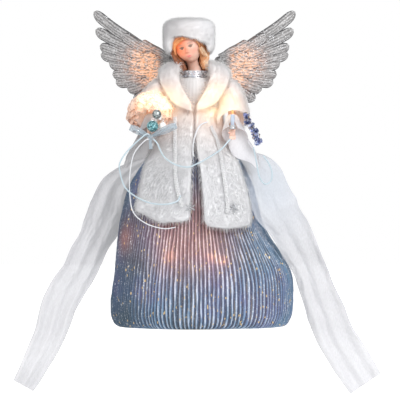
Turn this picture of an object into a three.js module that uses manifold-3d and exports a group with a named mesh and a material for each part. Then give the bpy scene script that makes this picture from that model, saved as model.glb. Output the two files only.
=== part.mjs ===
// Angel tree topper with a lit skirt, sleeves and wings. Millimetres, +Z up.
// The origin is the centre of the cone's mouth, where the tip of the tree goes in.
// The angel looks along -Y, so its right hand is on the -X side. Side names are the angel's own.
import * as THREE from 'three';
import { mergeVertices } from 'three/addons/utils/BufferGeometryUtils.js';
import Module from 'manifold-3d';

const wasm = await Module();
wasm.setup();

// Fits and overruns
const seatGap = 0.3;
const cutOverrun = 4;

// Base cone and the ring at its mouth
const coneTopRadius = 18;
const coneHeight = 169;
const coneWall = 1.6;
const rimHeight = 2.7;
const rimOuterRadius = 60;
const rimWidth = 8;
const rimInnerRadius = rimOuterRadius - rimWidth;
const coneMouthRadius = rimOuterRadius - rimWidth / 2;
const coneTop = rimHeight + seatGap + coneHeight;

// Skirt: finely pleated cloth, turned under at the hem, with a plain lining
const skirtCover = 14;
const skirtHeight = coneTop + skirtCover;
const skirtFlare = 29;
const skirtHalfWidth = rimOuterRadius + skirtFlare;
const skirtLean = 9;
const pleatDepth = 2;
const skirtCloth = 1.2;
const liningCloth = 1;
const liningGap = 1;
const pleatCount = 26;
const skirtDepthShare = 0.82;

// Torso form, satin bodice and neck
const torsoHalfWidth = 22;
const torsoDepth = 17.5;
const torsoHeight = 68;
const torsoFoot = coneTop + seatGap;
const torsoTop = torsoFoot + torsoHeight;
const shoulderDrop = 4.3;
const shoulderHeight = torsoTop - shoulderDrop;
const spigotRadius = 15.4;
const spigotDepth = 9;
const wireBoreRadius = 5;
const bodiceCloth = 1.2;
const neckRadius = 6.2;
const bustHeight = 16;
const neckBandHeight = 9.5;
const neckBandRadius = 12.6;
const neckBandWall = 1.9;

// Head, hair and hat
const headHalfWidth = 12.3;
const headHalfDepth = 14.3;
const headHalfHeight = 17;
const headRise = 18.8;
const headSide = -6;
const headForward = 5;
const headRoll = -15;
const headNod = 12;
const headTurn = -8;
const noseSize = 2.4;
const hairThickness = 2.3;
const curlRadius = 3.4;
const hatHalfWidth = 24.4;
const hatHalfDepth = 23;
const hatHalfHeight = 19.5;
const hatRise = 27.1;

// Fur coat
const coatRise = 14;
const coatTop = shoulderHeight + coatRise;
const coatInset = 13;
const coatDepthInset = 10.48;
const coatHalfWidth = skirtHalfWidth - coatInset;
const coatHalfDepth = skirtHalfWidth * skirtDepthShare - coatDepthInset;
const furThickness = 4.5;
const coatFold = 1.6;
const panelHemDrop = 82;
const panelTopDrop = 18;
const frontPanelHem = skirtHeight - panelHemDrop;
const frontPanelTop = shoulderHeight - panelTopDrop;
const backPanelHem = skirtHeight - panelHemDrop;
const seamGap = 0.7;
const collarThickness = 4.6;
const collarHalfWidth = 36;
const collarHalfDepth = 30;
const collarDrop = 50;
const braidWidth = 3.4;
const braidThickness = 1.6;
const charmRadius = 5;
const charmThickness = 1.4;

// Arms, hands and sleeves
const armWireRadius = 1.2;
const elbowSide = 43;
const elbowSideLeft = 37;
const elbowForward = 15;
const elbowDrop = 24;
const elbowHeight = shoulderHeight - elbowDrop;
const elbowGap = 0.5;
const elbowRadius = 4.4;
const wristRadius = 3;
const rightHandReach = 30;
const leftHandReach = 28;
const handDrop = 19;
const palmLength = 9;
const palmWidth = 6.4;
const palmThickness = 3.6;
const fingerRadius = 1;
const fingerLength = 7;
const sleeveRadius = 17.5;
const sleeveFur = 4;
const bellCloth = 1.1;
const bellDrop = 42;
const bellLean = 12;
const rightBellHalfWidth = 9.5;
const leftBellHalfWidth = 12;
const bellRoom = 2.6;
const bellFold = 1.3;
const bellSwing = 8;

// What the hands hold
const candleRadius = 1.95;
const candleHeight = 18;
const cupRadius = 3.3;
const cupHeight = 4.4;
const cupWall = 0.9;
const silverBallRadius = 4.5;
const tealBallRadius = 5.6;
const pearlRadius = 3.9;
const pickRadius = 0.7;
const pickHighRise = 18;
const pickLowRise = 6.5;
const pickSpread = 5.5;
const pickForkRise = 3;
const knotRadius = 2.9;
const knotTail = 12;
const bowLoopLength = 23;
const bowLoopWidth = 6.4;
const bowLoopDepth = 5;
const bowCloth = 0.8;
const ribbonRadius = 1.3;

// Tinsel blossoms on the left sleeve
const blossomRadius = 4.1;
const blossomCount = 6;

// Wings, their barrels and the wire bracket on the back
const wingSpan = 84;
const wingHeight = 89;
const wingDrop = 14;
const wingFoot = shoulderHeight - wingDrop;
const hingeSide = 16;
const hingeBack = 33;
const barrelRise = 4;
const barrelLow = shoulderHeight + barrelRise;
const barrelLength = 20;
const barrelRadius = 3.2;
const stemRadius = 1;
const stemGap = 0.3;
const wingSweep = 10;
const featherWidth = 11.5;
const featherThickness = 2.6;
const bracketHalfWidth = 10;
const bracketThickness = 1.5;
const bracketDrop = 14;
const bracketLow = shoulderHeight - bracketDrop;
const bracketHeight = 18;
const bracketBack = 28.4;
const pegRadius = 1.5;
const pegSpacing = 6;
const pegLength = 18;
const wingBulbSide = 27;
const wingBulbStandoff = 17;
const wingBulbRise = 16;
const wingBulbLean = 0.55;

// Light string
const lightRing = 70;
const wireRadius = 0.8;
const wireStandoff = 2.6;
const holderRadius = 2.6;
const holderLength = 11;
const bulbRadius = 2.2;
const bulbLength = 11;
const glandRadius = 2.6;
const glandLength = 9;

// Streamers
const streamerCloth = 1.2;
const streamerFold = 3.2;
const streamerReach = 171;
const streamerHalfWidth = 20;
const streamerDrop = 32;
const streamerLength = 240;
const streamerTop = elbowHeight - streamerDrop;
const streamerFoot = streamerTop - streamerLength;

// Counts of facets
const hoopSides = 24;
const roundSides = 8;
const wireSides = 5;
const cordSides = 8;
const bellSides = 18;
const bellFoldCount = 6;

const fullTurn = Math.PI * 2;
const at = (x, y, z) => new THREE.Vector3(x, y, z);
const degrees = THREE.MathUtils.degToRad;
const mix = THREE.MathUtils.lerp;

// Colours as the eye sees them
const finish = (color, roughness, metalness = 0) =>
  new THREE.MeshStandardMaterial({ color, roughness, metalness });
const material = {
  card: finish(0xd9d4c8, 0.9),
  blackPlastic: finish(0x1f2a24, 0.6),
  greenWire: finish(0x2f4a38, 0.55),
  bulbGlass: finish(0xffe6b0, 0.15),
  skirtCloth: finish(0x8fa3bf, 0.7, 0.2),
  lining: finish(0xdfe4ea, 0.85),
  form: finish(0xe9e4dc, 0.8),
  satin: finish(0xeef0f2, 0.35),
  skin: finish(0xf3c3a8, 0.5),
  hair: finish(0xd98a4c, 0.6),
  fur: finish(0xf0f1f4, 0.95),
  braid: finish(0xf7f7f9, 0.6),
  rhinestone: finish(0xd5d9de, 0.15, 0.8),
  silver: finish(0xb9bcc0, 0.25, 0.95),
  wing: finish(0x9fa3a8, 0.45, 0.6),
  steel: finish(0x8d9094, 0.4, 0.9),
  sheer: finish(0xe4e5ec, 0.6),
  paleRibbon: finish(0xb5d2e0, 0.35),
  tealGlitter: finish(0x4c8c94, 0.3, 0.4),
  pearl: finish(0xf7eee6, 0.25),
  candle: finish(0xc7d6eb, 0.4),
  tinsel: finish(0x4d54a0, 0.35, 0.6),
};

const topper = new THREE.Group();

function add(name, geometry, look) {
  const mesh = new THREE.Mesh(geometry, look);
  mesh.name = name;
  topper.add(mesh);
}

// Reads a table of [place, value, value...] rows, straight between the rows.
function readTable(table, place, column = 1) {
  const last = table.length - 1;
  if (place <= table[0][0]) return table[0][column];
  if (place >= table[last][0]) return table[last][column];
  const above = table.findIndex((row) => row[0] > place);
  const low = table[above - 1];
  const high = table[above];
  return mix(low[column], high[column], (place - low[0]) / (high[0] - low[0]));
}

// Turns a closed skin the right way out.
function outward(geometry) {
  const p = geometry.attributes.position;
  const index = geometry.index.array;
  const corner = (i) => at(p.getX(index[i]), p.getY(index[i]), p.getZ(index[i]));
  let volume = 0;
  for (let i = 0; i < index.length; i += 3) {
    volume += corner(i).dot(corner(i + 1).cross(corner(i + 2)));
  }
  if (volume < 0) {
    for (let i = 0; i < index.length; i += 3) {
      [index[i + 1], index[i + 2]] = [index[i + 2], index[i + 1]];
    }
  }
  return geometry;
}

// A closed solid over rings of points. Its ends get fans, strips for thin sheets, or join each other.
function skin(rings, ends = 'fan') {
  const count = rings[0].length;
  const points = rings.flat();
  const faces = [];
  const bands = ends === 'joined' ? rings.length : rings.length - 1;
  for (let r = 0; r < bands; r++) {
    const near = r * count;
    const far = ((r + 1) % rings.length) * count;
    for (let i = 0; i < count; i++) {
      const j = (i + 1) % count;
      faces.push(near + i, near + j, far + j, near + i, far + j, far + i);
    }
  }
  const lastRing = (rings.length - 1) * count;
  if (ends === 'fan') {
    for (const [start, flip] of [[0, true], [lastRing, false]]) {
      for (let i = 1; i < count - 1; i++) {
        faces.push(start, start + (flip ? i + 1 : i), start + (flip ? i : i + 1));
      }
    }
  }
  if (ends === 'strip') {
    for (const [start, flip] of [[0, true], [lastRing, false]]) {
      for (let i = 0; i < count / 2 - 1; i++) {
        const a = start + i;
        const b = start + i + 1;
        const c = start + count - 2 - i;
        const d = start + count - 1 - i;
        faces.push(...(flip ? [a, c, b, a, d, c] : [a, b, c, a, c, d]));
      }
    }
  }
  const geometry = new THREE.BufferGeometry();
  const flat = points.flatMap((q) => [q.x, q.y, q.z]);
  geometry.setAttribute('position', new THREE.Float32BufferAttribute(flat, 3));
  geometry.setIndex(faces);
  return outward(geometry);
}

// A sheet with a front and a back, each a list of rows of points.
const slab = (front, back) => skin(front.map((row, r) => [...row, ...back[r].slice().reverse()]), 'strip');

// A ring of points about a centre, square to a direction.
function ringAt(centre, direction, radius, sides, flatShare = 1) {
  const along = direction.clone().normalize();
  const helper = Math.abs(along.y) < 0.9 ? at(0, 1, 0) : at(1, 0, 0);
  const across = helper.clone().cross(along).normalize();
  const up = along.clone().cross(across);
  return Array.from({ length: sides }, (_, i) => {
    const turn = (fullTurn * i) / sides;
    return centre.clone()
      .addScaledVector(across, radius * Math.cos(turn))
      .addScaledVector(up, radius * flatShare * Math.sin(turn));
  });
}

// An upright ring, an ellipse about (x, y).
function levelRing(x, y, z, halfWidth, halfDepth, sides) {
  return Array.from({ length: sides }, (_, i) => {
    const turn = (fullTurn * i) / sides;
    return at(x + halfWidth * Math.cos(turn), y + halfDepth * Math.sin(turn), z);
  });
}

// A round rod that swells and tapers along a smooth path.
function rod(path, radii, sides, steps = path.length - 1, flatShare = 1) {
  const curve = new THREE.CatmullRomCurve3(path, false, 'centripetal');
  const rings = [];
  for (let s = 0; s <= steps; s++) {
    const t = s / steps;
    const place = t * (radii.length - 1);
    const low = Math.min(Math.floor(place), radii.length - 2);
    const radius = mix(radii[low], radii[low + 1], place - low);
    rings.push(ringAt(curve.getPoint(t), curve.getTangent(t), radius, sides, flatShare));
  }
  return skin(rings);
}

// A cord along a smooth path, of one section swept with an even step.
function cord(path, radius, steps, sides = cordSides) {
  const outline = new THREE.Shape(
    Array.from({ length: sides }, (_, i) => {
      const turn = (fullTurn * i) / sides;
      return new THREE.Vector2(radius * Math.cos(turn), radius * Math.sin(turn));
    }),
  );
  const curve = new THREE.CatmullRomCurve3(path, false, 'centripetal');
  return new THREE.ExtrudeGeometry(outline, { extrudePath: curve, steps, bevelEnabled: false });
}

// A flat strip of cloth or braid along a path. Its width lies along the direction that acrossAt gives.
function strip(path, acrossAt, width, thickness, steps) {
  const curve = new THREE.CatmullRomCurve3(path, false, 'centripetal');
  const rings = [];
  for (let s = 0; s <= steps; s++) {
    const centre = curve.getPoint(s / steps);
    const tangent = curve.getTangent(s / steps);
    const across = acrossAt(centre);
    const side = across.clone().addScaledVector(tangent, -across.dot(tangent)).normalize();
    const face = tangent.clone().cross(side);
    rings.push([[1, 1], [-1, 1], [-1, -1], [1, -1]].map(([a, b]) => centre.clone()
      .addScaledVector(side, (a * width) / 2)
      .addScaledVector(face, (b * thickness) / 2)));
  }
  return skin(rings);
}

function ball(centre, halfWidth, halfDepth = halfWidth, halfHeight = halfWidth, columns = 10, rows = 7) {
  return new THREE.SphereGeometry(1, columns, rows)
    .rotateX(Math.PI / 2)
    .scale(halfWidth, halfDepth, halfHeight)
    .translate(centre.x, centre.y, centre.z);
}

// A turned part about the Z axis. Its outline is a list of [radius, height] that closes on itself.
function turned(outline, sides = hoopSides) {
  const points = [...outline, outline[0]].map(([r, z]) => new THREE.Vector2(r, z));
  return new THREE.LatheGeometry(points, sides).rotateX(Math.PI / 2);
}

function cylinder(from, to, radius, sides = roundSides) {
  const direction = to.clone().sub(from);
  return skin([ringAt(from, direction, radius, sides), ringAt(to, direction, radius, sides)]);
}

// Booleans
function solid(geometry) {
  const plain = geometry.clone();
  plain.deleteAttribute('normal');
  plain.deleteAttribute('uv');
  const merged = mergeVertices(plain);
  return new wasm.Manifold(new wasm.Mesh({
    numProp: 3,
    vertProperties: new Float32Array(merged.attributes.position.array),
    triVerts: new Uint32Array(merged.index.array),
  }));
}

function geometryOf(shape) {
  const mesh = shape.getMesh();
  const geometry = new THREE.BufferGeometry();
  geometry.setAttribute('position', new THREE.Float32BufferAttribute(mesh.vertProperties, 3));
  geometry.setIndex(Array.from(mesh.triVerts));
  return geometry;
}

const joinAll = (geometries) => geometryOf(geometries.map(solid).reduce((all, next) => all.add(next)));
const cutAll = (body, cutters) =>
  geometryOf(cutters.map(solid).reduce((left, cutter) => left.subtract(cutter), solid(body)));

const mirrorX = (geometry) => outward(geometry.clone().scale(-1, 1, 1));

// Base cone, its rim ring and the holes that the skirt lights poke through
const coneFoot = rimHeight + seatGap;
const coneRadiusAt = (z) => mix(coneMouthRadius, coneTopRadius, (z - coneFoot) / coneHeight);
const skirtLightTurnShares = [-114 / 360, -64 / 360, 38 / 360, 142 / 360];
const skirtLights = skirtLightTurnShares.map((share) => {
  const turn = share * fullTurn;
  const away = at(Math.cos(turn), Math.sin(turn), 0);
  const inside = coneRadiusAt(lightRing) - coneWall - wireStandoff;
  const foot = away.clone().multiplyScalar(inside).setZ(lightRing);
  return { foot, away };
});
const glandHeight = coneFoot + glandLength;
const glandFoot = at(0, coneRadiusAt(glandHeight + glandLength / 2) - coneWall - glandRadius, glandHeight);

add('rim_ring', turned([
  [rimInnerRadius, 0],
  [rimOuterRadius, 0],
  [rimOuterRadius, rimHeight],
  [rimInnerRadius, rimHeight],
]), material.card);

const coneShell = turned([
  [coneMouthRadius, coneFoot],
  [coneTopRadius, coneTop],
  [coneTopRadius - coneWall, coneTop],
  [coneMouthRadius - coneWall, coneFoot],
]);
add('base_cone', cutAll(coneShell, skirtLights.map(({ foot, away }) => {
  const far = foot.clone().addScaledVector(away, holderLength + cutOverrun);
  return cylinder(foot, far, holderRadius + seatGap, 12);
})), material.card);

// Skirt: rows of [share of the height, share of the half width]
const skirtProfileShares = [
  [0, 0.86],
  [0.035, 0.965],
  [0.11, 1],
  [0.3, 0.96],
  [0.53, 0.79],
  [0.73, 0.685],
  [0.88, 0.52],
  [1, 0.33],
];
const skirtLeanShares = [[0, 1], [0.3, 1], [0.53, -0.45], [0.73, -0.45], [1, 0]];
const skirtAt = (share) => {
  const half = readTable(skirtProfileShares, share) * skirtHalfWidth;
  return {
    z: share * skirtHeight,
    halfWidth: half,
    halfDepth: half * skirtDepthShare,
    x: readTable(skirtLeanShares, share) * skirtLean,
  };
};
const hemEdge = {
  z: pleatDepth / 2,
  halfWidth: rimOuterRadius + seatGap,
  halfDepth: rimOuterRadius + seatGap,
  x: 0,
};
const skirtRows = [hemEdge, ...skirtProfileShares.map(([share]) => skirtAt(share))];

// Moves every row of a gown in towards the body by a distance, square to its outline.
function inset(rows, distance) {
  return rows.map((row, i) => {
    const before = rows[Math.max(i - 1, 0)];
    const after = rows[Math.min(i + 1, rows.length - 1)];
    const run = after.halfWidth - before.halfWidth;
    const rise = after.z - before.z;
    const length = Math.hypot(run, rise);
    const inward = (-rise / length) * distance;
    return {
      z: row.z + (run / length) * distance,
      halfWidth: row.halfWidth + inward,
      halfDepth: row.halfDepth + inward,
      x: row.x,
    };
  });
}

function gownRing(row, ripple, sides) {
  return Array.from({ length: sides }, (_, i) => {
    const turn = (fullTurn * i) / sides;
    const wave = i % 2 ? -ripple / 2 : ripple / 2;
    return at(
      row.x + (row.halfWidth + wave) * Math.cos(turn),
      (row.halfDepth + wave) * Math.sin(turn),
      row.z,
    );
  });
}

const skirtSides = 2 * pleatCount;
const skirtOuter = skirtRows.map((row, i) => gownRing(row, i ? pleatDepth : 0, skirtSides));
skirtOuter[1].forEach((point) => point.setZ(0));
const skirtInnerRows = inset(skirtRows, pleatDepth / 2 + skirtCloth);
skirtInnerRows[0].halfWidth = hemEdge.halfWidth;
skirtInnerRows[0].halfDepth = hemEdge.halfDepth;
const skirtInner = skirtInnerRows.map((row) => gownRing(row, 0, skirtSides));
add('pleated_skirt', skin([...skirtOuter, ...skirtInner.reverse()], 'joined'), material.skirtCloth);

const liningRows = skirtRows.slice(2);
const liningOut = pleatDepth / 2 + skirtCloth + liningGap;
const liningOuter = inset(liningRows, liningOut).map((row) => gownRing(row, 0, hoopSides));
const liningInner = inset(liningRows, liningOut + liningCloth).map((row) => gownRing(row, 0, hoopSides));
add('skirt_lining', skin([...liningOuter, ...liningInner.reverse()], 'joined'), material.lining);

// Torso form on the cone: rows of [share of the height, share of the half width, share of the depth]
const torsoShares = [
  [0, 1, 1],
  [0.1, 0.93, 0.95],
  [0.3, 0.86, 0.9],
  [0.62, 1, 1.03],
  [0.85, 1, 0.97],
  [1, 0.9, 0.8],
];
function torsoRings(grow, fromShare = 0, toShare = 1) {
  return torsoShares
    .filter(([share]) => share >= fromShare && share <= toShare)
    .map(([share, wide, deep]) => levelRing(0, 0, torsoFoot + share * torsoHeight,
      wide * torsoHalfWidth + grow, deep * torsoDepth + grow, 2 * roundSides));
}
const spigotTop = torsoFoot + seatGap;
const spigot = cylinder(at(0, 0, torsoFoot - spigotDepth), at(0, 0, spigotTop), spigotRadius, 16);
const pegSides = [-pegSpacing, pegSpacing];
const pegHeight = bracketLow + bracketHeight / 2;
const pegFront = bracketBack - pegLength;
const wireBore = cylinder(
  at(0, 0, torsoFoot - 2 * spigotDepth),
  at(0, 0, shoulderHeight + wireBoreRadius),
  wireBoreRadius,
);
const shoulderHole = (y, radius) => cylinder(
  at(-torsoHalfWidth - cutOverrun, y, shoulderHeight),
  at(torsoHalfWidth + cutOverrun, y, shoulderHeight),
  radius,
  8,
);
const branchBack = armWireRadius + wireRadius + 4 * seatGap;
const armWireHole = shoulderHole(0, armWireRadius + 2 * seatGap);
const sleeveBranchHole = shoulderHole(branchBack, wireRadius + 2 * seatGap);
const branchHeight = shoulderHeight - wireBoreRadius - 2 * wireRadius;
const wingBranchHole = cylinder(at(0, 0, branchHeight), at(0, bracketBack + cutOverrun, branchHeight),
  wireRadius + 2 * seatGap, 8);
const pegHoles = pegSides.map((x) => cylinder(
  at(x, pegFront - seatGap, pegHeight),
  at(x, bracketBack + cutOverrun, pegHeight),
  pegRadius + seatGap,
  8,
));
add('torso_form', cutAll(joinAll([skin(torsoRings(0)), spigot]), [
  wireBore, armWireHole, sleeveBranchHole, wingBranchHole, ...pegHoles,
]), material.form);

const bodiceRings = (grow) => torsoRings(grow, 0.3, 1);
add('satin_bodice', cutAll(
  skin([...bodiceRings(seatGap + bodiceCloth), ...bodiceRings(seatGap).reverse()], 'joined'),
  [armWireHole, sleeveBranchHole, wingBranchHole, ...pegHoles],
), material.satin);

// Head, neck and shoulder plate in one casting
const bustFoot = torsoTop + seatGap;
const bustTop = bustFoot + bustHeight;

const bustShares = [
  [0, 0.9, 0.8],
  [0.09, 0.86, 0.76],
  [0.12, 0.54, 0.6],
  [0.62, 0.38, 0.44],
  [0.8, 0.3, 0.36],
];
const bandFoot = bustFoot + bustShares[2][0] * bustHeight + seatGap;
const shoulderPlate = skin([
  ...bustShares.map(([share, wide, deep]) => levelRing(0, 0, bustFoot + share * bustHeight,
    wide * torsoHalfWidth, deep * torsoDepth, 2 * roundSides)),
  levelRing(headSide / 5, 0, bustTop, neckRadius, neckRadius, 2 * roundSides),
]);
const headCentre = at(headSide, -headForward, bustTop + headRise);
function poseHead(geometry) {
  return geometry
    .rotateX(degrees(headNod))
    .rotateY(degrees(headRoll))
    .rotateZ(degrees(headTurn))
    .translate(headCentre.x, headCentre.y, headCentre.z);
}
// The skull narrows to the jaw below its middle.
function skull(grow, columns = 14, rows = 10) {
  const shape = ball(at(0, 0, 0), headHalfWidth + grow, headHalfDepth + grow, headHalfHeight + grow,
    columns, rows);
  const p = shape.attributes.position;
  const jawShare = 0.3;
  for (let i = 0; i < p.count; i++) {
    const below = Math.max(0, -p.getZ(i) / (headHalfHeight + grow));
    p.setX(i, p.getX(i) * (1 - jawShare * below * below));
    p.setY(i, p.getY(i) * (1 - (jawShare / 2) * below * below));
  }
  return shape;
}
const neck = rod(
  [at(headSide / 5, 0, bustTop - neckRadius / 2), at(headSide / 2, -headForward / 3, bustTop + headRise / 3),
    headCentre],
  [neckRadius, neckRadius * 0.94, neckRadius],
  roundSides,
);
const nose = poseHead(rod(
  [at(0, -headHalfDepth + noseSize, noseSize), at(0, -headHalfDepth, -noseSize)],
  [noseSize / 3, noseSize / 2],
  wireSides,
));
add('head_bust', joinAll([shoulderPlate, neck, poseHead(skull(0)), nose]), material.skin);

// Neck band of rhinestones, a cone-shaped ring on the shoulder plate
const bandTop = bandFoot + neckBandHeight;
const bandTopRadius = neckBandRadius * 0.82;
add('rhinestone_band', turned([
  [neckBandRadius, bandFoot],
  [neckBandRadius + neckBandWall, bandFoot],
  [bandTopRadius + neckBandWall, bandTop],
  [bandTopRadius, bandTop],
], 28), material.rhinestone);

// Hair: a cap over the skull with the face left open, and a curl down each side
const faceOpening = poseHead(ball(
  at(0.06 * headHalfWidth, -1.05 * headHalfDepth, -0.2 * headHalfHeight),
  0.74 * headHalfWidth,
  0.85 * headHalfDepth,
  0.88 * headHalfHeight,
));
const headPlace = (x, y, z) => headCentre.clone().add(at(
  x * headHalfWidth, y * headHalfDepth, z * headHalfHeight));
const curl = (placeShares) => rod(
  placeShares.map((shares) => headPlace(...shares)),
  [curlRadius * 0.9, curlRadius, curlRadius * 0.8, curlRadius * 0.4],
  6,
  4,
);
const leftCurl = curl([[1.02, -0.3, 0.3], [1.4, -0.3, -0.15], [1.5, -0.25, -0.5], [1.4, -0.25, -0.75]]);
const rightCurl = curl([[-1.1, -0.35, 0.1], [-1.15, -0.3, -0.35], [-0.9, -0.2, -0.65], [-0.8, -0.1, -0.8]]);
const neckClearance = rod(
  [at(headSide / 5, 0, bustTop - neckRadius), at(headSide / 2, -headForward / 3, bustTop + headRise / 3),
    headCentre],
  [neckRadius + seatGap, neckRadius + seatGap, neckRadius + seatGap],
  roundSides,
);
const hairCap = joinAll([poseHead(skull(hairThickness)), leftCurl, rightCurl]);
add('hair', cutAll(hairCap, [poseHead(skull(seatGap)), faceOpening, neckClearance]), material.hair);

// Fur hat: a deep soft crown that covers the hair and leaves the face open
const hatCentre = at(headSide * 0.9, -headForward * 0.2, bustTop + hatRise);
function hatCrown() {
  const crown = ball(at(0, 0, 0), hatHalfWidth, hatHalfDepth, hatHalfHeight, 14, 8);
  const p = crown.attributes.position;
  const squareShare = 0.16;
  for (let i = 0; i < p.count; i++) {
    const level = p.getZ(i) / hatHalfHeight;
    const fuller = 1 + squareShare * (1 - Math.abs(2 * Math.abs(level) - 1));
    p.setX(i, p.getX(i) * fuller);
    p.setY(i, p.getY(i) * fuller);
  }
  return crown.translate(hatCentre.x, hatCentre.y, hatCentre.z);
}
const hatFaceOpening = ball(
  at(hatCentre.x + 0.06 * hatHalfWidth, -1.35 * hatHalfDepth, bustTop + 0.3 * hatRise),
  0.8 * hatHalfWidth,
  1.1 * hatHalfDepth,
  1.05 * hatHalfHeight,
  16, 10,
);
const hatUnderside = cylinder(
  at(headSide / 2, 0, bustTop - headRise),
  at(headSide / 2, 0, bustTop + headRise / 3),
  1.1 * headHalfDepth,
  20,
);
add('fur_hat', cutAll(hatCrown(), [
  poseHead(skull(hairThickness + seatGap)), hatFaceOpening, hatUnderside, leftCurl, rightCurl,
]), material.fur);

// Coat: inner outline as rows of [share of the height, share of the half width, share of the depth]
const coatShares = [
  [0.38, 1, 1],
  [0.52, 0.92, 0.88],
  [0.63, 0.82, 0.76],
  [0.68, 0.74, 0.64],
  [0.745, 0.53, 0.455],
  [0.8, 0.42, 0.4],
  [0.9, 0.372, 0.375],
  [0.96, 0.355, 0.33],
  [1, 0.33, 0.28],
];
const coatAt = (z, grow = 0) => ({
  halfWidth: readTable(coatShares, z / coatTop, 1) * coatHalfWidth + grow,
  halfDepth: readTable(coatShares, z / coatTop, 2) * coatHalfDepth + grow,
});
function coatPoint(x, z, side, grow) {
  const { halfWidth, halfDepth } = coatAt(z, grow);
  const reach = Math.min(Math.abs(x) / halfWidth, 0.995);
  return at(x, side * halfDepth * Math.sqrt(1 - reach * reach), z);
}

// A panel of the coat between two edges, each a table of [share of the panel's height, x].
function coatPanel({ low, high, hemDrop, edgeFrom, edgeTo, side, rows, columns, folds }) {
  const front = [];
  const back = [];
  for (let r = 0; r <= rows; r++) {
    const share = r / rows;
    const frontRow = [];
    const backRow = [];
    for (let c = 0; c <= columns; c++) {
      const across = c / columns;
      const x = mix(readTable(edgeFrom, share), readTable(edgeTo, share), across);
      const drop = hemDrop * Math.sin(Math.PI * across) * (1 - share);
      const z = mix(low, high, share) - drop;
      const wave = coatFold * (1 - share) * (0.5 + 0.5 * Math.cos(fullTurn * folds * across));
      backRow.push(coatPoint(x, z, side, 0));
      frontRow.push(coatPoint(x, z, side, furThickness + wave));
    }
    front.push(frontRow);
    back.push(backRow);
  }
  return slab(front, back);
}

const closure = seamGap / 2;
const rightPanelOuterShares = [[0, -0.79], [0.18, -0.75], [0.45, -0.67], [0.62, -0.6], [0.72, -0.45],
  [0.82, -0.36], [1, -0.32]];
const rightPanelInnerShares = [[0, -0.04], [0.4, -0.03], [0.66, 0], [1, 0]];
const leftPanelInnerShares = [[0, 0.115], [0.25, 0.095], [0.45, 0.07], [0.68, 0], [1, 0]];
const leftPanelOuterShares = [[0, 0.74], [0.15, 0.74], [0.35, 0.66], [0.55, 0.56], [0.72, 0.43],
  [0.82, 0.36], [1, 0.32]];
const inWidths = (shares, shift = 0) =>
  shares.map(([place, share]) => [place, share * coatHalfWidth + shift]);
add('coat_front_right', coatPanel({
  low: frontPanelHem,
  high: frontPanelTop,
  hemDrop: coatFold,
  edgeFrom: inWidths(rightPanelOuterShares),
  edgeTo: inWidths(rightPanelInnerShares, -closure),
  side: -1,
  rows: 9,
  columns: 8,
  folds: 2,
}), material.fur);
add('coat_front_left', coatPanel({
  low: frontPanelHem - furThickness,
  high: frontPanelTop,
  hemDrop: 2 * coatFold,
  edgeFrom: inWidths(leftPanelInnerShares, closure),
  edgeTo: inWidths(leftPanelOuterShares),
  side: -1,
  rows: 9,
  columns: 8,
  folds: 2,
}), material.fur);

const backEdgeShares = [[0, 0.7], [0.2, 0.66], [0.36, 0.66], [0.45, 0.6], [0.55, 0.44], [0.65, 0.37],
  [0.82, 0.345], [0.92, 0.33], [1, 0.27]];
add('coat_back', cutAll(coatPanel({
  low: backPanelHem,
  high: coatTop,
  hemDrop: coatFold,
  edgeFrom: inWidths(backEdgeShares.map(([place, share]) => [place, -share])),
  edgeTo: inWidths(backEdgeShares),
  side: 1,
  rows: 8,
  columns: 12,
  folds: 3,
}), [wingBranchHole, ...pegHoles]), material.fur);

// Wide fur collar: from the point of one lapel round the back of the neck to the other.
// Rows of shares of the collar's half width, half depth and drop, for its inner and outer edges.
const collarInnerShares = [
  [-0.02, -1.0, -0.82], [-0.2, -0.9, -0.6], [-0.36, -0.72, -0.36], [-0.44, -0.42, -0.08],
  [-0.38, 0.14, 0.02], [0, 0.42, 0.04],
];
const collarOuterShares = [
  [-0.035, -1.02, -0.98], [-0.55, -0.98, -0.84], [-0.88, -0.68, -0.52], [-1, -0.16, -0.24],
  [-0.72, 0.56, -0.16], [0, 0.84, -0.2],
];
const collarTop = coatTop + furThickness + collarThickness;
function collarEdge(shares) {
  const half = shares.map(([x, y, z]) =>
    at(x * collarHalfWidth, y * collarHalfDepth, collarTop + z * collarDrop));
  const other = half.slice(0, -1).reverse().map((q) => at(-q.x, q.y, q.z));
  return new THREE.CatmullRomCurve3([...half, ...other], false, 'centripetal');
}
function collar(grow) {
  const inner = collarEdge(collarInnerShares);
  const outer = collarEdge(collarOuterShares);
  const rows = 24;
  const columns = 4;
  const place = (r, c) => {
    const v = mix(-grow / collarThickness / 2, 1 + grow / collarThickness / 2, c / columns);
    return inner.getPoint(r / rows).lerp(outer.getPoint(r / rows), v);
  };
  const front = [];
  const back = [];
  for (let r = 0; r <= rows; r++) {
    const frontRow = [];
    const backRow = [];
    for (let c = 0; c <= columns; c++) {
      const here = place(r, c);
      const alongCollar = place(Math.min(r + 1, rows), c).sub(place(Math.max(r - 1, 0), c));
      const acrossCollar = place(r, Math.min(c + 1, columns)).sub(place(r, Math.max(c - 1, 0)));
      const up = alongCollar.cross(acrossCollar).normalize();
      const puff = 0.6 + 0.4 * Math.sin((Math.PI * c) / columns);
      frontRow.push(here.clone().addScaledVector(up, collarThickness * puff + grow));
      backRow.push(here.clone().addScaledVector(up, -grow));
    }
    front.push(frontRow);
    back.push(backRow);
  }
  return slab(front, back);
}
add('coat_collar', collar(0), material.fur);

// Braids along the front panels, and a small star charm near the foot of each
const frontSkin = (x, z, lift) => coatPoint(x, z, -1, furThickness + coatFold + lift);
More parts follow.
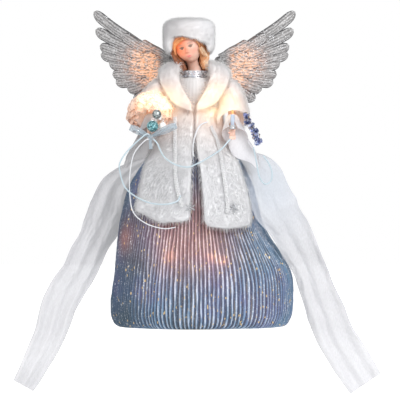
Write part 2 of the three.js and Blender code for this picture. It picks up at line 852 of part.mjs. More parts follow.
// The level direction along the coat's front at a place.
function alongCoat(place) {
  const { halfWidth, halfDepth } = coatAt(place.z, furThickness);
  const share = place.x / halfWidth;
  return at(1, (halfDepth * share) / (halfWidth * Math.sqrt(1 - share * share)), 0).normalize();
}
const braidLift = 2 * seatGap + braidThickness / 2;
const rightBraidShares = [[0.9, -0.245], [0.6, -0.245], [0.36, -0.235], [0.14, -0.16]];
const leftBraidShares = [[0.82, 0.21], [0.68, 0.3], [0.42, 0.37], [0.16, 0.42], [0.09, 0.41]];
const panelHeight = frontPanelTop - frontPanelHem;
const panelPlace = ([share, wide], lift) =>
  frontSkin(wide * coatHalfWidth, frontPanelHem + share * panelHeight, lift);
for (const [name, shares] of [['braid_right', rightBraidShares], ['braid_left', leftBraidShares]]) {
  const path = shares.map((row) => panelPlace(row, braidLift));
  add(name, strip(path, alongCoat, braidWidth, braidThickness, 12), material.braid);
}

// A flat charm with six points
function charm(centre) {
  const points = 12;
  const outline = new THREE.Shape(Array.from({ length: points }, (_, i) => {
    const reach = i % 2 ? charmRadius * 0.42 : charmRadius;
    const turn = (fullTurn * i) / points;
    return new THREE.Vector2(reach * Math.sin(turn), reach * Math.cos(turn));
  }));
  const along = alongCoat(centre);
  return new THREE.ExtrudeGeometry(outline, { depth: charmThickness, bevelEnabled: false, curveSegments: 1 })
    .rotateX(Math.PI / 2)
    .rotateZ(Math.atan2(along.y, along.x))
    .translate(centre.x, centre.y, centre.z);
}
const charmLift = seatGap + charmRadius / 4;
const rightCharmShares = [0.13, -0.05];
const leftCharmShares = [0.13, 0.504];
add('charm_right', charm(panelPlace(rightCharmShares, charmLift)), material.silver);
add('charm_left', charm(panelPlace(leftCharmShares, charmLift)), material.silver);

// Arms. Each side's sizes are kept together, and its sign says which way is outward.
const arms = [
  {
    name: 'right',
    sign: -1,
    elbow: at(-elbowSide, -elbowForward, elbowHeight),
    reach: rightHandReach,
    bellHalfWidth: rightBellHalfWidth,
  },
  {
    name: 'left',
    sign: 1,
    elbow: at(elbowSideLeft, -elbowForward, elbowHeight),
    reach: leftHandReach,
    bellHalfWidth: leftBellHalfWidth,
  },
];
for (const arm of arms) {
  arm.shoulder = at(arm.sign * torsoHalfWidth, 0, shoulderHeight);
  arm.wrist = arm.elbow.clone().add(at(0, -arm.reach, -handDrop));
  arm.forward = arm.wrist.clone().sub(arm.elbow).normalize();
  arm.mouth = arm.elbow.clone().addScaledVector(arm.forward, sleeveRadius * 0.8);
}

// The envelope of the coat's body, grown by a clearance. It trims what lies against the coat.
const coatEnvelope = (grow) => {
  const levels = [0.66, 0.7, 0.745, 0.8, 0.9, 0.96, 1, 1.03];
  return skin(levels.map((share) => {
    const { halfWidth, halfDepth } = coatAt(Math.min(share, 1) * coatTop, furThickness + coatFold + grow);
    return levelRing(0, 0, share * coatTop, halfWidth, halfDepth, 32);
  }));
};

for (const arm of arms) {
  const { sign, elbow, forward, wrist, mouth } = arm;
  const wireEnd = elbow.clone().addScaledVector(forward, -elbowGap);
  const midArm = arm.shoulder.clone().lerp(elbow, 0.55).add(at(sign * 2 * armWireRadius, 0, armWireRadius));
  arm.midArm = midArm;
  add(`arm_wire_${arm.name}`, cord([
    at(sign * (wireBoreRadius + armWireRadius), 0, shoulderHeight),
    at(sign * torsoHalfWidth * 0.7, 0, shoulderHeight),
    arm.shoulder,
    midArm,
    wireEnd.clone().addScaledVector(forward, -2 * elbowRadius),
    wireEnd,
  ], armWireRadius, 12, wireSides), material.steel);

  // Forearm and hand
  const palmEnd = wrist.clone().addScaledVector(forward, palmLength);
  const palmMiddle = wrist.clone().lerp(palmEnd, 0.5);
  const parts = [
    rod([elbow, elbow.clone().lerp(wrist, 0.5), wrist.clone().addScaledVector(forward, palmLength / 4)],
      [elbowRadius, (elbowRadius + wristRadius) / 2, wristRadius], 9, 3),
    rod([wrist, palmMiddle, palmEnd],
      [wristRadius * 0.8, palmWidth / 2, palmWidth / 2 - fingerRadius / 2], 8, 4, palmThickness / palmWidth),
  ];
  for (const share of [-0.36, -0.12, 0.12, 0.36]) {
    const knuckle = palmEnd.clone().addScaledVector(forward, -fingerRadius).add(at(share * palmWidth, 0, 0));
    const bend = knuckle.clone().add(at(0, -fingerLength * 0.55, -fingerRadius));
    const tip = knuckle.clone().add(at(0, -fingerLength * 0.7, -fingerLength * 0.55));
    parts.push(rod([knuckle, bend, tip], [fingerRadius * 1.1, fingerRadius, fingerRadius * 0.8], 5));
  }
  const thumbRoot = palmMiddle.clone().add(at(-sign * palmWidth * 0.3, 0, 0));
  const thumbTip = thumbRoot.clone().add(at(-sign * palmWidth * 0.3, -fingerLength * 0.6, fingerRadius));
  parts.push(rod([thumbRoot, thumbTip], [fingerRadius * 1.3, fingerRadius * 0.9], 5));
  arm.palmMiddle = palmMiddle;
  arm.palmEnd = palmEnd;
  add(`forearm_${arm.name}`, joinAll(parts), material.skin);

  // Fur sleeve: a wide tapered tube from under the collar to the elbow, open at its mouth
  const bendShares = [[0.4, 0, 0.17], [0.69, -0.23, -0.23], [-0.06, 0.11, 0.23], [0.06, 0, -0.11]];
  const bends = [arm.shoulder, arm.shoulder, elbow, mouth].map((place, i) => {
    const [out, back, up] = bendShares[i].map((share) => share * sleeveRadius);
    return place.clone().add(at(sign * out, back, up));
  });
  const sleevePath = new THREE.CatmullRomCurve3(bends, false, 'centripetal');
  const outerShares = [[0, 0.46], [0.3, 0.76], [0.6, 0.9], [1, 1]];
  const innerShares = [[0, 0.42], [0.3, 0.68], [0.6, 0.82], [1, 1]];
  const stations = [0, 0.16, 0.35, 0.55, 0.78, 1];
  const sleeveRing = (t, radius) => ringAt(sleevePath.getPoint(t), sleevePath.getTangent(t), radius, 12);
  const outerRings = stations.map((t) => sleeveRing(t, readTable(outerShares, t) * sleeveRadius));
  const innerRings = stations.map((t) => sleeveRing(t, readTable(innerShares, t) * (sleeveRadius - sleeveFur)));
  arm.sleevePath = sleevePath;
  add(`fur_sleeve_${arm.name}`, cutAll(skin([...outerRings, ...innerRings.reverse()], 'joined'),
    [coatEnvelope(seatGap), collar(seatGap)]), material.fur);

  // Bell sleeve of sheer cloth: it goes round the forearm, and its mouth hangs long below the wrist.
  const bellRing = (t, inward) => {
    const centre = mouth.clone().lerp(wrist, mix(0.12, 0.94, t));
    const smooth = t * t * (3 - 2 * t);
    const halfHeight = mix(elbowRadius + bellRoom, bellDrop / 2, smooth);
    const halfWidth = mix(elbowRadius + bellRoom, arm.bellHalfWidth, smooth);
    const roomAbove = elbowRadius + bellRoom;
    return Array.from({ length: bellSides }, (_, i) => {
      const turn = (fullTurn * i) / bellSides;
      const fold = t * bellFold * Math.cos(bellFoldCount * turn);
      const depthShare = 1 - Math.cos(turn);
      return centre.clone().add(at(
        (halfWidth - inward + fold) * Math.sin(turn) + (sign * bellLean * depthShare * depthShare * smooth) / 2,
        bellSwing * (depthShare / 2) * smooth,
        roomAbove - inward - (halfHeight - inward) * depthShare - fold * (depthShare - 1),
      ));
    });
  };
  arm.bellRing = bellRing;
  const bellStations = [0, 0.25, 0.5, 0.75, 1];
  add(`bell_sleeve_${arm.name}`, skin([
    ...bellStations.map((t) => bellRing(t, 0)),
    ...bellStations.map((t) => bellRing(t, bellCloth)).reverse(),
  ], 'joined'), material.sheer);
}
const [rightArm, leftArm] = arms;

// In the left hand: a candle in a small silver cup
const cupFoot = leftArm.palmMiddle.clone().add(at(0, -fingerRadius, palmThickness + seatGap));
const cup = turned([
  [0, cupWall],
  [0, 0],
  [cupRadius * 0.5, 0],
  [cupRadius, cupHeight * 0.6],
  [cupRadius, cupHeight],
  [cupRadius - cupWall, cupHeight],
  [cupRadius - cupWall, cupWall],
], 16);
add('candle_cup', cup.translate(cupFoot.x, cupFoot.y, cupFoot.z), material.silver);
const candleFoot = cupFoot.clone().add(at(0, 0, cupWall + seatGap));
add('candle', turned([
  [0, 0],
  [candleRadius, 0],
  [candleRadius, candleHeight * 0.93],
  [candleRadius * 0.35, candleHeight],
  [0, candleHeight],
], 12).translate(candleFoot.x, candleFoot.y, candleFoot.z), material.candle);

// In the right hand: a wire pick with two glittered balls, a pearl and a sheer bow
const pickFoot = rightArm.palmEnd.clone().add(at(fingerRadius, 0, fingerRadius * 2 + pickRadius + seatGap));
const silverBallPlace = pickFoot.clone().add(at(pickSpread, -silverBallRadius, pickHighRise));
const tealBallPlace = pickFoot.clone().add(at(pickSpread / 4, -tealBallRadius, pickLowRise));
const pearlPlace = pickFoot.clone().add(at(
  tealBallRadius + pearlRadius + pickSpread / 4 + seatGap, -pearlRadius, pickLowRise));
const picked = [
  ['silver_ball', silverBallPlace, silverBallRadius, material.silver],
  ['teal_ball', tealBallPlace, tealBallRadius, material.tealGlitter],
  ['pearl_drop', pearlPlace, pearlRadius, material.pearl],
];
const pickFork = pickFoot.clone().add(at(pickForkRise, pickRadius + seatGap, pickForkRise));
const pickBranches = picked.map(([, centre, radius]) => {
  const seat = centre.clone().add(at(0, radius + seatGap + pickRadius / 2, 0));
  return cord([pickFork, pickFork.clone().lerp(seat, 0.5).add(at(0, pickRadius * 2, 0)), seat], pickRadius, 5,
    wireSides);
});
const knotPlace = rightArm.palmEnd.clone().add(at(0, -fingerLength - knotRadius, -fingerRadius));
const knotBack = knotPlace.clone().add(at(0, knotRadius * 0.8 + seatGap + pickRadius, pickRadius));
const bowTie = cord([pickFoot, pickFoot.clone().lerp(knotBack, 0.5).add(at(0, 0, pickRadius)), knotBack],
  pickRadius, 5, wireSides);
add('ornament_pick', joinAll([
  cord([pickFoot, pickFork, pickFork.clone().add(at(0, 0, pickRadius))], pickRadius, 3, wireSides),
  bowTie,
  ...pickBranches,
]), material.steel);
for (const [name, centre, radius, look] of picked) add(name, ball(centre, radius), look);

const knot = ball(knotPlace, knotRadius, knotRadius * 0.8, knotRadius, 10, 6);
const tail = strip([
  knotPlace,
  knotPlace.clone().add(at(-knotTail * 0.12, 0, -knotTail * 0.5)),
  knotPlace.clone().add(at(-knotTail * 0.4, knotRadius, -knotTail)),
], () => at(1, 0, 0), 2 * ribbonRadius, bowCloth, 4);
add('bow_knot', joinAll([knot, tail]), material.sheer);
for (const [name, sign, rise] of [['bow_loop_right', -1, 0.5], ['bow_loop_left', 1, 0.45]]) {
  const out = bowLoopLength;
  const root = knotPlace.clone().add(at(sign * (knotRadius + seatGap), 0, knotRadius * 0.3));
  const path = [
    root.clone().add(at(0, -bowCloth, 0)),
    root.clone().add(at(sign * out * 0.5, -bowLoopDepth / 2, out * rise * 0.35)),
    root.clone().add(at(sign * out * 0.95, -bowLoopDepth * 0.3, out * rise * 0.85)),
    root.clone().add(at(sign * out, 0, out * rise * 0.9)),
    root.clone().add(at(sign * out * 0.93, bowLoopDepth * 0.4, out * rise * 0.78)),
    root.clone().add(at(sign * out * 0.5, bowLoopDepth / 2, out * rise * 0.3)),
    root.clone().add(at(0, bowCloth, 0)),
  ];
  add(name, strip(path, () => at(-sign * 0.45, 0, 1), bowLoopWidth, bowCloth, 14), material.sheer);
}

// Narrow satin ribbons: two long loops from the bow to the coat, one from hand to hand,
// one on the coat's closure and one that hangs in a loop from the left sleeve
const ribbons = [
  ['ribbon_long', 20, [
    [-43.4, -66, 188.9], [-47.6, -68, 189.4], [-62.5, -69, 176], [-71.3, -68, 164], [-72.3, -67, 154.5],
    [-65.9, -68, 136.8], [-47.7, -71, 125], [-31, -71, 122], [-17.5, -67.5, 124.5], [-13.5, -65.4, 130.6],
  ]],
  ['ribbon_low', 20, [
    [-43.8, -65.9, 185.2], [-48.7, -66.8, 183], [-58.5, -65, 171], [-62.5, -63.6, 151.5],
    [-62.5, -63.6, 130], [-59, -65.5, 114], [-47.7, -69.5, 104], [-31, -69.5, 98.6], [-18.2, -62, 99.6],
  ]],
  ['ribbon_between', 15, [
    [-40.3, -65.3, 185.6], [-36, -66.6, 181], [-30, -66.5, 169], [-19.6, -65.5, 161], [-7, -65, 158],
    [2, -64.5, 161], [13.3, -63, 167], [25.6, -60.5, 175], [32, -58.4, 182], [35, -57.1, 185.2],
  ]],
  ['ribbon_closure', 7, [
    [13, -30.3, 202], [5, -32.8, 198], [0.5, -36.3, 188], [-1.5, -42.4, 177], [-1, -48.9, 168],
  ]],
  ['ribbon_tail', 11, [
    [57.5, -42, 177], [60.3, -45.5, 163], [63, -47, 149], [68, -47, 141.5], [74, -46, 144],
    [75.5, -45, 152], [72.5, -43.5, 161], [67, -42.6, 169],
  ]],
];
for (const [name, steps, points] of ribbons) {
  add(name, cord(points.map(([x, y, z]) => at(x, y, z)), ribbonRadius, steps), material.paleRibbon);
}

// Tinsel blossoms in a row along the outside of the left bell sleeve
const bellRim = leftArm.bellRing(0.8, 0);
const blossomLift = blossomRadius + seatGap;
const garlandPath = new THREE.CatmullRomCurve3([1, 3, 5].map((i) => bellRim[i].clone().add(
  at(1.15 * blossomLift, -blossomRadius / 2, (3 - i) * blossomLift * 0.2))));
add('sleeve_garland', joinAll(Array.from({ length: blossomCount }, (_, i) => {
  const radius = blossomRadius * (i % 2 ? 0.9 : 1);
  return ball(garlandPath.getPoint(i / (blossomCount - 1)), radius, radius, radius, 6, 5);
})), material.tinsel);

// Wings: feathers fan out from the shoulder of the wing. Shares of the wing's span and height:
// root along, root up, tip along, tip up, and the width as a share of a feather's.
const primaryShares = [
  [0.28, 0.56, 1.0, 1.0, 1.0],
  [0.27, 0.52, 0.98, 0.8, 1.05],
  [0.26, 0.48, 0.93, 0.62, 1.05],
  [0.25, 0.44, 0.92, 0.525, 1.0],
  [0.24, 0.4, 0.82, 0.425, 1.05],
  [0.23, 0.36, 0.78, 0.3, 1.05],
  [0.21, 0.33, 0.74, 0.205, 1.05],
  [0.2, 0.3, 0.6, 0.125, 1.1],
  [0.18, 0.28, 0.52, 0.01, 1.0],
];
const covertShares = [
  [0.16, 0.5, 0.66, 0.74, 1.0],
  [0.15, 0.46, 0.62, 0.58, 1.05],
  [0.14, 0.42, 0.58, 0.44, 1.05],
  [0.13, 0.38, 0.52, 0.32, 1.05],
  [0.12, 0.34, 0.44, 0.2, 1.0],
];
const sweepRise = Math.tan(degrees(wingSweep));
function wingPlace(along, up, layer) {
  const x = hingeSide + along * wingSpan;
  return at(x, hingeBack + (x - hingeSide) * sweepRise + layer, wingFoot + up * wingHeight);
}
function feather([rootAlong, rootUp, tipAlong, tipUp, wide], layer) {
  const root = wingPlace(rootAlong, rootUp, layer);
  const tip = wingPlace(tipAlong, tipUp, layer);
  const direction = tip.clone().sub(root).normalize();
  const across = at(0, 1, 0).cross(direction).normalize();
  const face = direction.clone().cross(across);
  const outline = [[0, 0.45], [0.4, 0.95], [0.85, 0.85], [1, 0.16]];
  return skin(outline.map(([place, share]) => {
    const centre = root.clone().lerp(tip, place);
    const half = (featherWidth * wide * share) / 2;
    const thick = (featherThickness * (1 - 0.5 * place)) / 2;
    return [
      centre.clone().addScaledVector(across, half),
      centre.clone().addScaledVector(face, thick),
      centre.clone().addScaledVector(across, -half),
      centre.clone().addScaledVector(face, -thick),
    ];
  }));
}
const wingShoulder = rod([
  wingPlace(0, 0.32, 0), wingPlace(0.12, 0.42, 0), wingPlace(0.26, 0.54, 0), wingPlace(0.42, 0.66, 0),
], [barrelRadius, 0.78 * featherWidth, 0.61 * featherWidth, 0.22 * featherWidth], 10, 6, 0.32);
const barrel = cylinder(
  at(hingeSide, hingeBack, barrelLow),
  at(hingeSide, hingeBack, barrelLow + barrelLength),
  barrelRadius,
);
const barrelBore = cylinder(
  at(hingeSide, hingeBack, barrelLow - cutOverrun),
  at(hingeSide, hingeBack, barrelLow + barrelLength + cutOverrun),
  stemRadius + stemGap,
);
const barrelRoom = featherThickness / 3;
const leftWing = cutAll(joinAll([
  ...primaryShares.map((row, i) => feather(row, (i % 2) * barrelRoom)),
  ...covertShares.map((row, i) => feather(row, -featherThickness * 0.6 - (i % 2) * barrelRoom)),
  wingShoulder,
  barrel,
]), [barrelBore]);
add('wing_left', leftWing, material.wing);
add('wing_right', mirrorX(leftWing), material.wing);

// Bracket on the back: plate, two pegs into the torso, an upright stem and a bulb arm each side
const plate = new THREE.BoxGeometry(2 * bracketHalfWidth, bracketThickness, bracketHeight)
  .translate(0, bracketBack + bracketThickness / 2, pegHeight);
const branchSlot = cylinder(at(0, bracketBack - cutOverrun, branchHeight),
  at(0, bracketBack + bracketThickness + cutOverrun, branchHeight), wireRadius + 2 * seatGap, 8);
const pegs = pegSides.map((x) => cylinder(
  at(x, pegFront, pegHeight), at(x, bracketBack + bracketThickness / 2, pegHeight), pegRadius));
const plateMiddle = bracketBack + bracketThickness / 2;
const wingBulbFoot = at(wingBulbSide, bracketBack + wingBulbStandoff, bracketLow + wingBulbRise);
const wingBulbAway = at(wingBulbLean, 0, 1).normalize();
const frames = [-1, 1].flatMap((sign) => [
  cord([
    at(sign * (bracketHalfWidth - stemRadius), plateMiddle, barrelLow - 5 * stemRadius),
    at(sign * hingeSide * 0.8, hingeBack - stemRadius, barrelLow - 5 * stemRadius),
    at(sign * hingeSide, hingeBack, barrelLow - 3 * stemRadius),
    at(sign * hingeSide, hingeBack, barrelLow - seatGap),
  ], stemRadius, 7, wireSides),
  cylinder(
    at(sign * hingeSide, hingeBack, barrelLow - stemRadius),
    at(sign * hingeSide, hingeBack, barrelLow + barrelLength + 2 * stemRadius),
    stemRadius,
  ),
  cord([
    at(sign * (bracketHalfWidth - stemRadius), plateMiddle, bracketLow + 2 * stemRadius),
    at(sign * wingBulbSide * 0.6, bracketBack + wingBulbStandoff / 2, bracketLow + 4 * stemRadius),
    at(sign * (wingBulbSide - wingBulbLean), wingBulbFoot.y, wingBulbFoot.z - stemRadius - seatGap),
  ], stemRadius, 5, wireSides),
]);
add('wing_bracket', cutAll(joinAll([plate, ...pegs, ...frames]), [branchSlot]), material.steel);

// Light string: one wire inside the cone and the torso, with its moulded bulb holders
const ringRadius = coneRadiusAt(lightRing) - coneWall - wireStandoff;
const ringTurns = [-120, -90, -60, -30, 0, 30, 60, 90, 120, 150, 180, 210];
const ringPath = ringTurns.map((turn) => at(
  ringRadius * Math.cos(degrees(turn)), ringRadius * Math.sin(degrees(turn)), lightRing));
const wallBack = (z) => coneRadiusAt(z) - coneWall - wireStandoff;
const trunkPath = [
  glandFoot.clone().add(at(0, -glandRadius, glandLength * 0.6)),
  at(0, wallBack(lightRing), lightRing),
  at(0, wallBack(coneTop * 0.6), coneTop * 0.6),
  at(0, wallBack(coneTop * 0.75), coneTop * 0.75),
  at(0, spigotRadius / 2, torsoFoot - 2.9 * spigotDepth),
  at(0, wireRadius, torsoFoot - 2 * spigotDepth),
  at(0, 0, torsoFoot),
  at(0, 0, branchHeight),
  at(0, 0, shoulderHeight),
];
const holders = [];
const bulbs = [];
for (const [i, { foot, away }] of skirtLights.entries()) {
  const collarEnd = foot.clone().addScaledVector(away, holderLength);
  holders.push(cylinder(foot.clone().addScaledVector(away, -wireRadius), collarEnd, holderRadius, 8));
  bulbs.push([`skirt_bulb_${i + 1}`, collarEnd.clone().addScaledVector(away, seatGap), away]);
}
const branches = [];
for (const arm of arms) {
  const { sign } = arm;
  const place = arm.sleevePath.getPoint(0.42);
  const away = arm.sleevePath.getTangent(0.42).normalize();
  const lift = at(sign * 0.5, 0.3, 0.8).normalize();
  const end = place.clone().addScaledVector(lift, armWireRadius + holderRadius + 2 * seatGap);
  const foot = end.clone().addScaledVector(away, -0.6 * holderLength);
  const branchAt = (side) => at(sign * side, branchBack, shoulderHeight);
  branches.push(cord([
    at(0, wireRadius, shoulderHeight - 2 * wireRadius),
    branchAt(wireBoreRadius * 0.4),
    branchAt(wireBoreRadius * 1.4),
    branchAt(torsoHalfWidth * 0.7),
    branchAt(torsoHalfWidth),
    branchAt(torsoHalfWidth + 3 * bodiceCloth),
    foot.clone().addScaledVector(away, wireRadius),
  ], wireRadius, 9, wireSides));
  holders.push(cylinder(foot, end, holderRadius, 8));
  bulbs.push([`sleeve_bulb_${arm.name}`, end.clone().addScaledVector(away, seatGap), away]);
}
for (const [name, sign] of [['right', -1], ['left', 1]]) {
  const away = at(sign * wingBulbAway.x, 0, wingBulbAway.z);
  const foot = at(sign * wingBulbFoot.x, wingBulbFoot.y, wingBulbFoot.z);
  const end = foot.clone().addScaledVector(away, 0.6 * holderLength);
  branches.push(cord([
    ...[0, 0.3, 0.6, 0.9, 1.1].map((share) => at(0, share * bracketBack, branchHeight)),
    at(sign * wingBulbFoot.x * 0.5, wingBulbFoot.y - holderRadius, branchHeight + 3 * wireRadius),
    foot.clone().addScaledVector(away, holderLength * 0.3),
  ], wireRadius, 9, wireSides));
  holders.push(cylinder(foot, end, holderRadius, 8));
  bulbs.push([`wing_bulb_${name}`, end.clone().addScaledVector(away, seatGap), away]);
}
add('light_string', joinAll([
  cord(ringPath, wireRadius, 12, wireSides),
  cord(trunkPath, wireRadius, 15, wireSides),
  ...holders,
  ...branches,
]), material.greenWire);
for (const [name, foot, away] of bulbs) {
  const stationShares = [0, 0.5, 0.85, 1];
  const radiusShares = [0.9, 1, 0.8, 0.15];
  add(name, skin(stationShares.map((share, i) => ringAt(
    foot.clone().addScaledVector(away, share * bulbLength), away, radiusShares[i] * bulbRadius, 7))),
  material.bulbGlass);
}
add('lead_gland', cylinder(glandFoot, glandFoot.clone().add(at(0, 0, glandLength * 0.5 - 2 * wireRadius)),
  glandRadius, 12), material.blackPlastic);

// Streamers of sheer cloth. Rows of shares of the reach and drop: sideways, back, up, half width,
// and how far the inner edge stands back from the outer one.
const rightStreamerShares = [
  [0.25, 0.122, 0.965, 0.15, 0.0],
  [0.36, 0.13, 0.92, 0.52, 0.1],
  [0.455, 0.12, 0.85, 0.78, 0.25],
  [0.5, 0.13, 0.74, 0.98, 0.4],
  [0.552, 0.1, 0.64, 0.95, 0.35],
  [0.61, 0.04, 0.558, 0.88, 0.2],
  [0.662, 0.02, 0.483, 0.84, 0.1],
  [0.73, 0, 0.405, 0.88, 0],
  [0.785, -0.01, 0.328, 0.86, -0.1],
  [0.836, -0.02, 0.213, 0.78, -0.1],
  [0.91, -0.02, 0.107, 0.68, 0],
  [0.985, -0.02, 0.01, 0.56, 0],
];
const leftStreamerShares = [
  [0.25, 0.09, 0.97, 0.4, 0.1],
  [0.36, 0.03, 0.93, 0.55, 0.1],
  [0.435, -0.06, 0.865, 0.78, 0.1],
  [0.48, -0.16, 0.742, 0.98, 0],
  [0.54, -0.16, 0.656, 0.98, 0],
  [0.605, -0.13, 0.567, 0.92, 0],
  [0.664, -0.1, 0.483, 0.84, 0],
  [0.705, -0.08, 0.4, 0.86, 0],
  [0.757, -0.06, 0.308, 0.96, 0],
  [0.81, -0.05, 0.213, 0.94, 0],
  [0.9, -0.04, 0.11, 0.98, 0],
  [0.985, -0.035, 0.02, 0.9, 0],
];
function streamer(shares, sign) {
  const drop = streamerTop - streamerFoot;
  const centres = shares.map(([side, back, up]) =>
    at(sign * side * streamerReach, back * streamerReach, streamerFoot + up * drop));
  const curve = new THREE.CatmullRomCurve3(centres, false, 'centripetal');
  const steps = 18;
  const columns = 8;
  const front = [];
  const back = [];
  for (let s = 0; s <= steps; s++) {
    const t = s / steps;
    const place = t * (shares.length - 1);
    const low = Math.min(Math.floor(place), shares.length - 2);
    const half = mix(shares[low][3], shares[low + 1][3], place - low) * streamerHalfWidth;
    const turn = mix(shares[low][4], shares[low + 1][4], place - low);
    const centre = curve.getPoint(t);
    const tangent = curve.getTangent(t);
    const across = at(tangent.z, 0, -tangent.x).multiplyScalar(sign);
    across.multiplyScalar(across.x * sign > 0 ? 1 : -1).add(at(0, -turn, 0));
    const frontRow = [];
    const backRow = [];
    for (let c = 0; c <= columns; c++) {
      const v = (2 * c) / columns - 1;
      const fold = streamerFold * Math.cos(Math.PI * (2.5 * v + t)) * (0.35 + 0.65 * t);
      const point = centre.clone().addScaledVector(across, v * half).add(at(0, fold, 0));
      frontRow.push(point.clone().add(at(0, -streamerCloth / 2, 0)));
      backRow.push(point.clone().add(at(0, streamerCloth / 2, 0)));
    }
    front.push(frontRow);
    back.push(backRow);
  }
  return slab(front, back);
}
add('streamer_right', streamer(rightStreamerShares, -1), material.sheer);
add('streamer_left', streamer(leftStreamerShares, 1), material.sheer);

export default topper;
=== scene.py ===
"""Angel tree topper: a dressed figure on a hollow cone, in metres, +Z up, looking along -Y.

The angel's right hand is on the -X side. Sizes in the classes are millimetres, as in the part's source.
"""

import logging
import math
import random
from dataclasses import dataclass
from enum import Enum
from typing import Callable, Iterable, Optional, Sequence, Union

import bmesh
import bpy
import numpy as np
from mathutils import Matrix, Vector, noise


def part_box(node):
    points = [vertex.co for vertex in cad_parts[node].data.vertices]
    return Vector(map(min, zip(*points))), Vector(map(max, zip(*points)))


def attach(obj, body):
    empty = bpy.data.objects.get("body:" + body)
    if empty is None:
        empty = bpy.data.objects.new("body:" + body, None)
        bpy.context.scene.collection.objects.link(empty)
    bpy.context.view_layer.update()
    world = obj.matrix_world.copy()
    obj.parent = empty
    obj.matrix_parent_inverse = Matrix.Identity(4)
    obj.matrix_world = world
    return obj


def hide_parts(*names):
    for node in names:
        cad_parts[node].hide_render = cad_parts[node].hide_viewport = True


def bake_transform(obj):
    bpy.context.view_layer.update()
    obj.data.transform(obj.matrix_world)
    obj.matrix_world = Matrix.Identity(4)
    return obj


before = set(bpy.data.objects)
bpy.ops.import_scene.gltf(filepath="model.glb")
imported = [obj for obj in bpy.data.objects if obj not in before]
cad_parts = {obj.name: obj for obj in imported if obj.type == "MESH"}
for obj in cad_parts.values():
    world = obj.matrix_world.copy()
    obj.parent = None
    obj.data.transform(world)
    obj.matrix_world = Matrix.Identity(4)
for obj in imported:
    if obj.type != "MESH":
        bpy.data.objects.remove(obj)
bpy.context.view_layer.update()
LOG = logging.getLogger("topper")

MM = 0.001
TURN = 2 * math.pi
SAMPLES = 12
Point = Union[Vector, Sequence[float]]
Place = Callable[[float, float], Vector]
Table = Sequence[Sequence[float]]
Spot = tuple[float, float, float]
Tone = Spot
Color = Sequence[float]
WHITE = (1, 1, 1, 1)


class Body(Enum):
    """The rigid bodies that pieces ride on."""

    FIGURE = "figure"
    ARM_RIGHT = "arm_right"
    ARM_LEFT = "arm_left"
    WING_RIGHT = "wing_right"
    WING_LEFT = "wing_left"


class Side(Enum):
    """A side of the angel, with its sign along X."""

    RIGHT = -1
    LEFT = 1

    @property
    def word(self) -> str:
        """The side's name in lower case."""
        return self.name.lower()


def mm(x: float, y: float, z: float) -> Vector:
    """A point from millimetres."""
    return Vector((x, y, z)) * MM


def mix(a: float, b: float, t: float) -> float:
    """A value between a and b."""
    return a + (b - a) * t


def smooth(t: float) -> float:
    """An eased share from 0 to 1."""
    t = min(max(t, 0.0), 1.0)
    return t * t * (3 - 2 * t)


def bump(x: float, centre: float, width: float) -> float:
    """A soft bump of height 1 about a centre."""
    return math.exp(-(((x - centre) / width) ** 2))


def twin(x: float, side: float, width: float) -> float:
    """Two soft bumps, one on each side of the middle."""
    return bump(x, -side, width) + bump(x, side, width)


def ring_noise(turn: float, scale: float, level: float) -> float:
    """Noise that closes round a ring, read at a level of it."""
    return noise.noise(Vector((math.cos(turn) * scale, math.sin(turn) * scale, level)))


def unit(rows: np.ndarray) -> np.ndarray:
    """Rows of length 1."""
    return rows / np.linalg.norm(rows, axis=1)[:, None]


def placed(name: str, data: Optional[bpy.types.ID]) -> bpy.types.Object:
    """A new object of the scene."""
    made = bpy.data.objects.new(name, data)
    bpy.context.scene.collection.objects.link(made)
    return made


def read_table(table: Table, place: float, column: int = 1) -> float:
    """Reads a table of [place, value, ...] rows, straight between the rows.

    Args:
        table: rows in rising order of place.
        place: where to read.
        column: which value of the row.

    Returns:
        The value there, or that of the nearest end.
    """
    if place <= table[0][0]:
        return table[0][column]
    for low, high in zip(table, table[1:]):
        if place <= high[0]:
            return mix(low[column], high[column], (place - low[0]) / (high[0] - low[0]))
    return table[-1][column]


class Path:
    """A smooth curve through points, read by share of its length."""

    REACH = 0.004

    def __init__(self, points: Iterable[Point], closed: bool = False, samples: int = SAMPLES) -> None:
        """Fits the curve.

        Args:
            points: the points that it passes, in metres.
            closed: whether it returns to its start.
            samples: how many steps lie between two points.
        """
        knots = [Vector(p) for p in points]
        count = len(knots)
        spans = count if closed else count - 1
        line: list[Vector] = []
        for i in range(spans):
            a, b, c, d = (
                knots[(i + k) % count] if closed else knots[min(max(i + k, 0), count - 1)]
                for k in (-1, 0, 1, 2)
            )
            for s in range(samples):
                t = s / samples
                line.append(0.5 * (2 * b + (c - a) * t + (2 * a - 5 * b + 4 * c - d) * t * t
                                   + (3 * b - a - 3 * c + d) * t ** 3))
        line.append(knots[0] if closed else knots[-1])
        steps = [0.0]
        for p, q in zip(line, line[1:]):
            steps.append(steps[-1] + (q - p).length)
        self.line, self.steps, self.length = line, steps, steps[-1]

    def at(self, share: float) -> Vector:
        """Reads the curve.

        Args:
            share: share of the length, kept from 0 to 1.

        Returns:
            The point there, in metres.
        """
        goal = min(max(share, 0.0), 1.0) * self.length
        index = int(np.searchsorted(self.steps, goal))
        if index == 0:
            return self.line[0].copy()
        low, high = self.steps[index - 1], self.steps[index]
        return self.line[index - 1].lerp(self.line[index], (goal - low) / max(high - low, 1e-12))

    def along(self, share: float) -> Vector:
        """The direction of travel at a share of the length."""
        return (self.at(share + self.REACH) - self.at(share - self.REACH)).normalized()


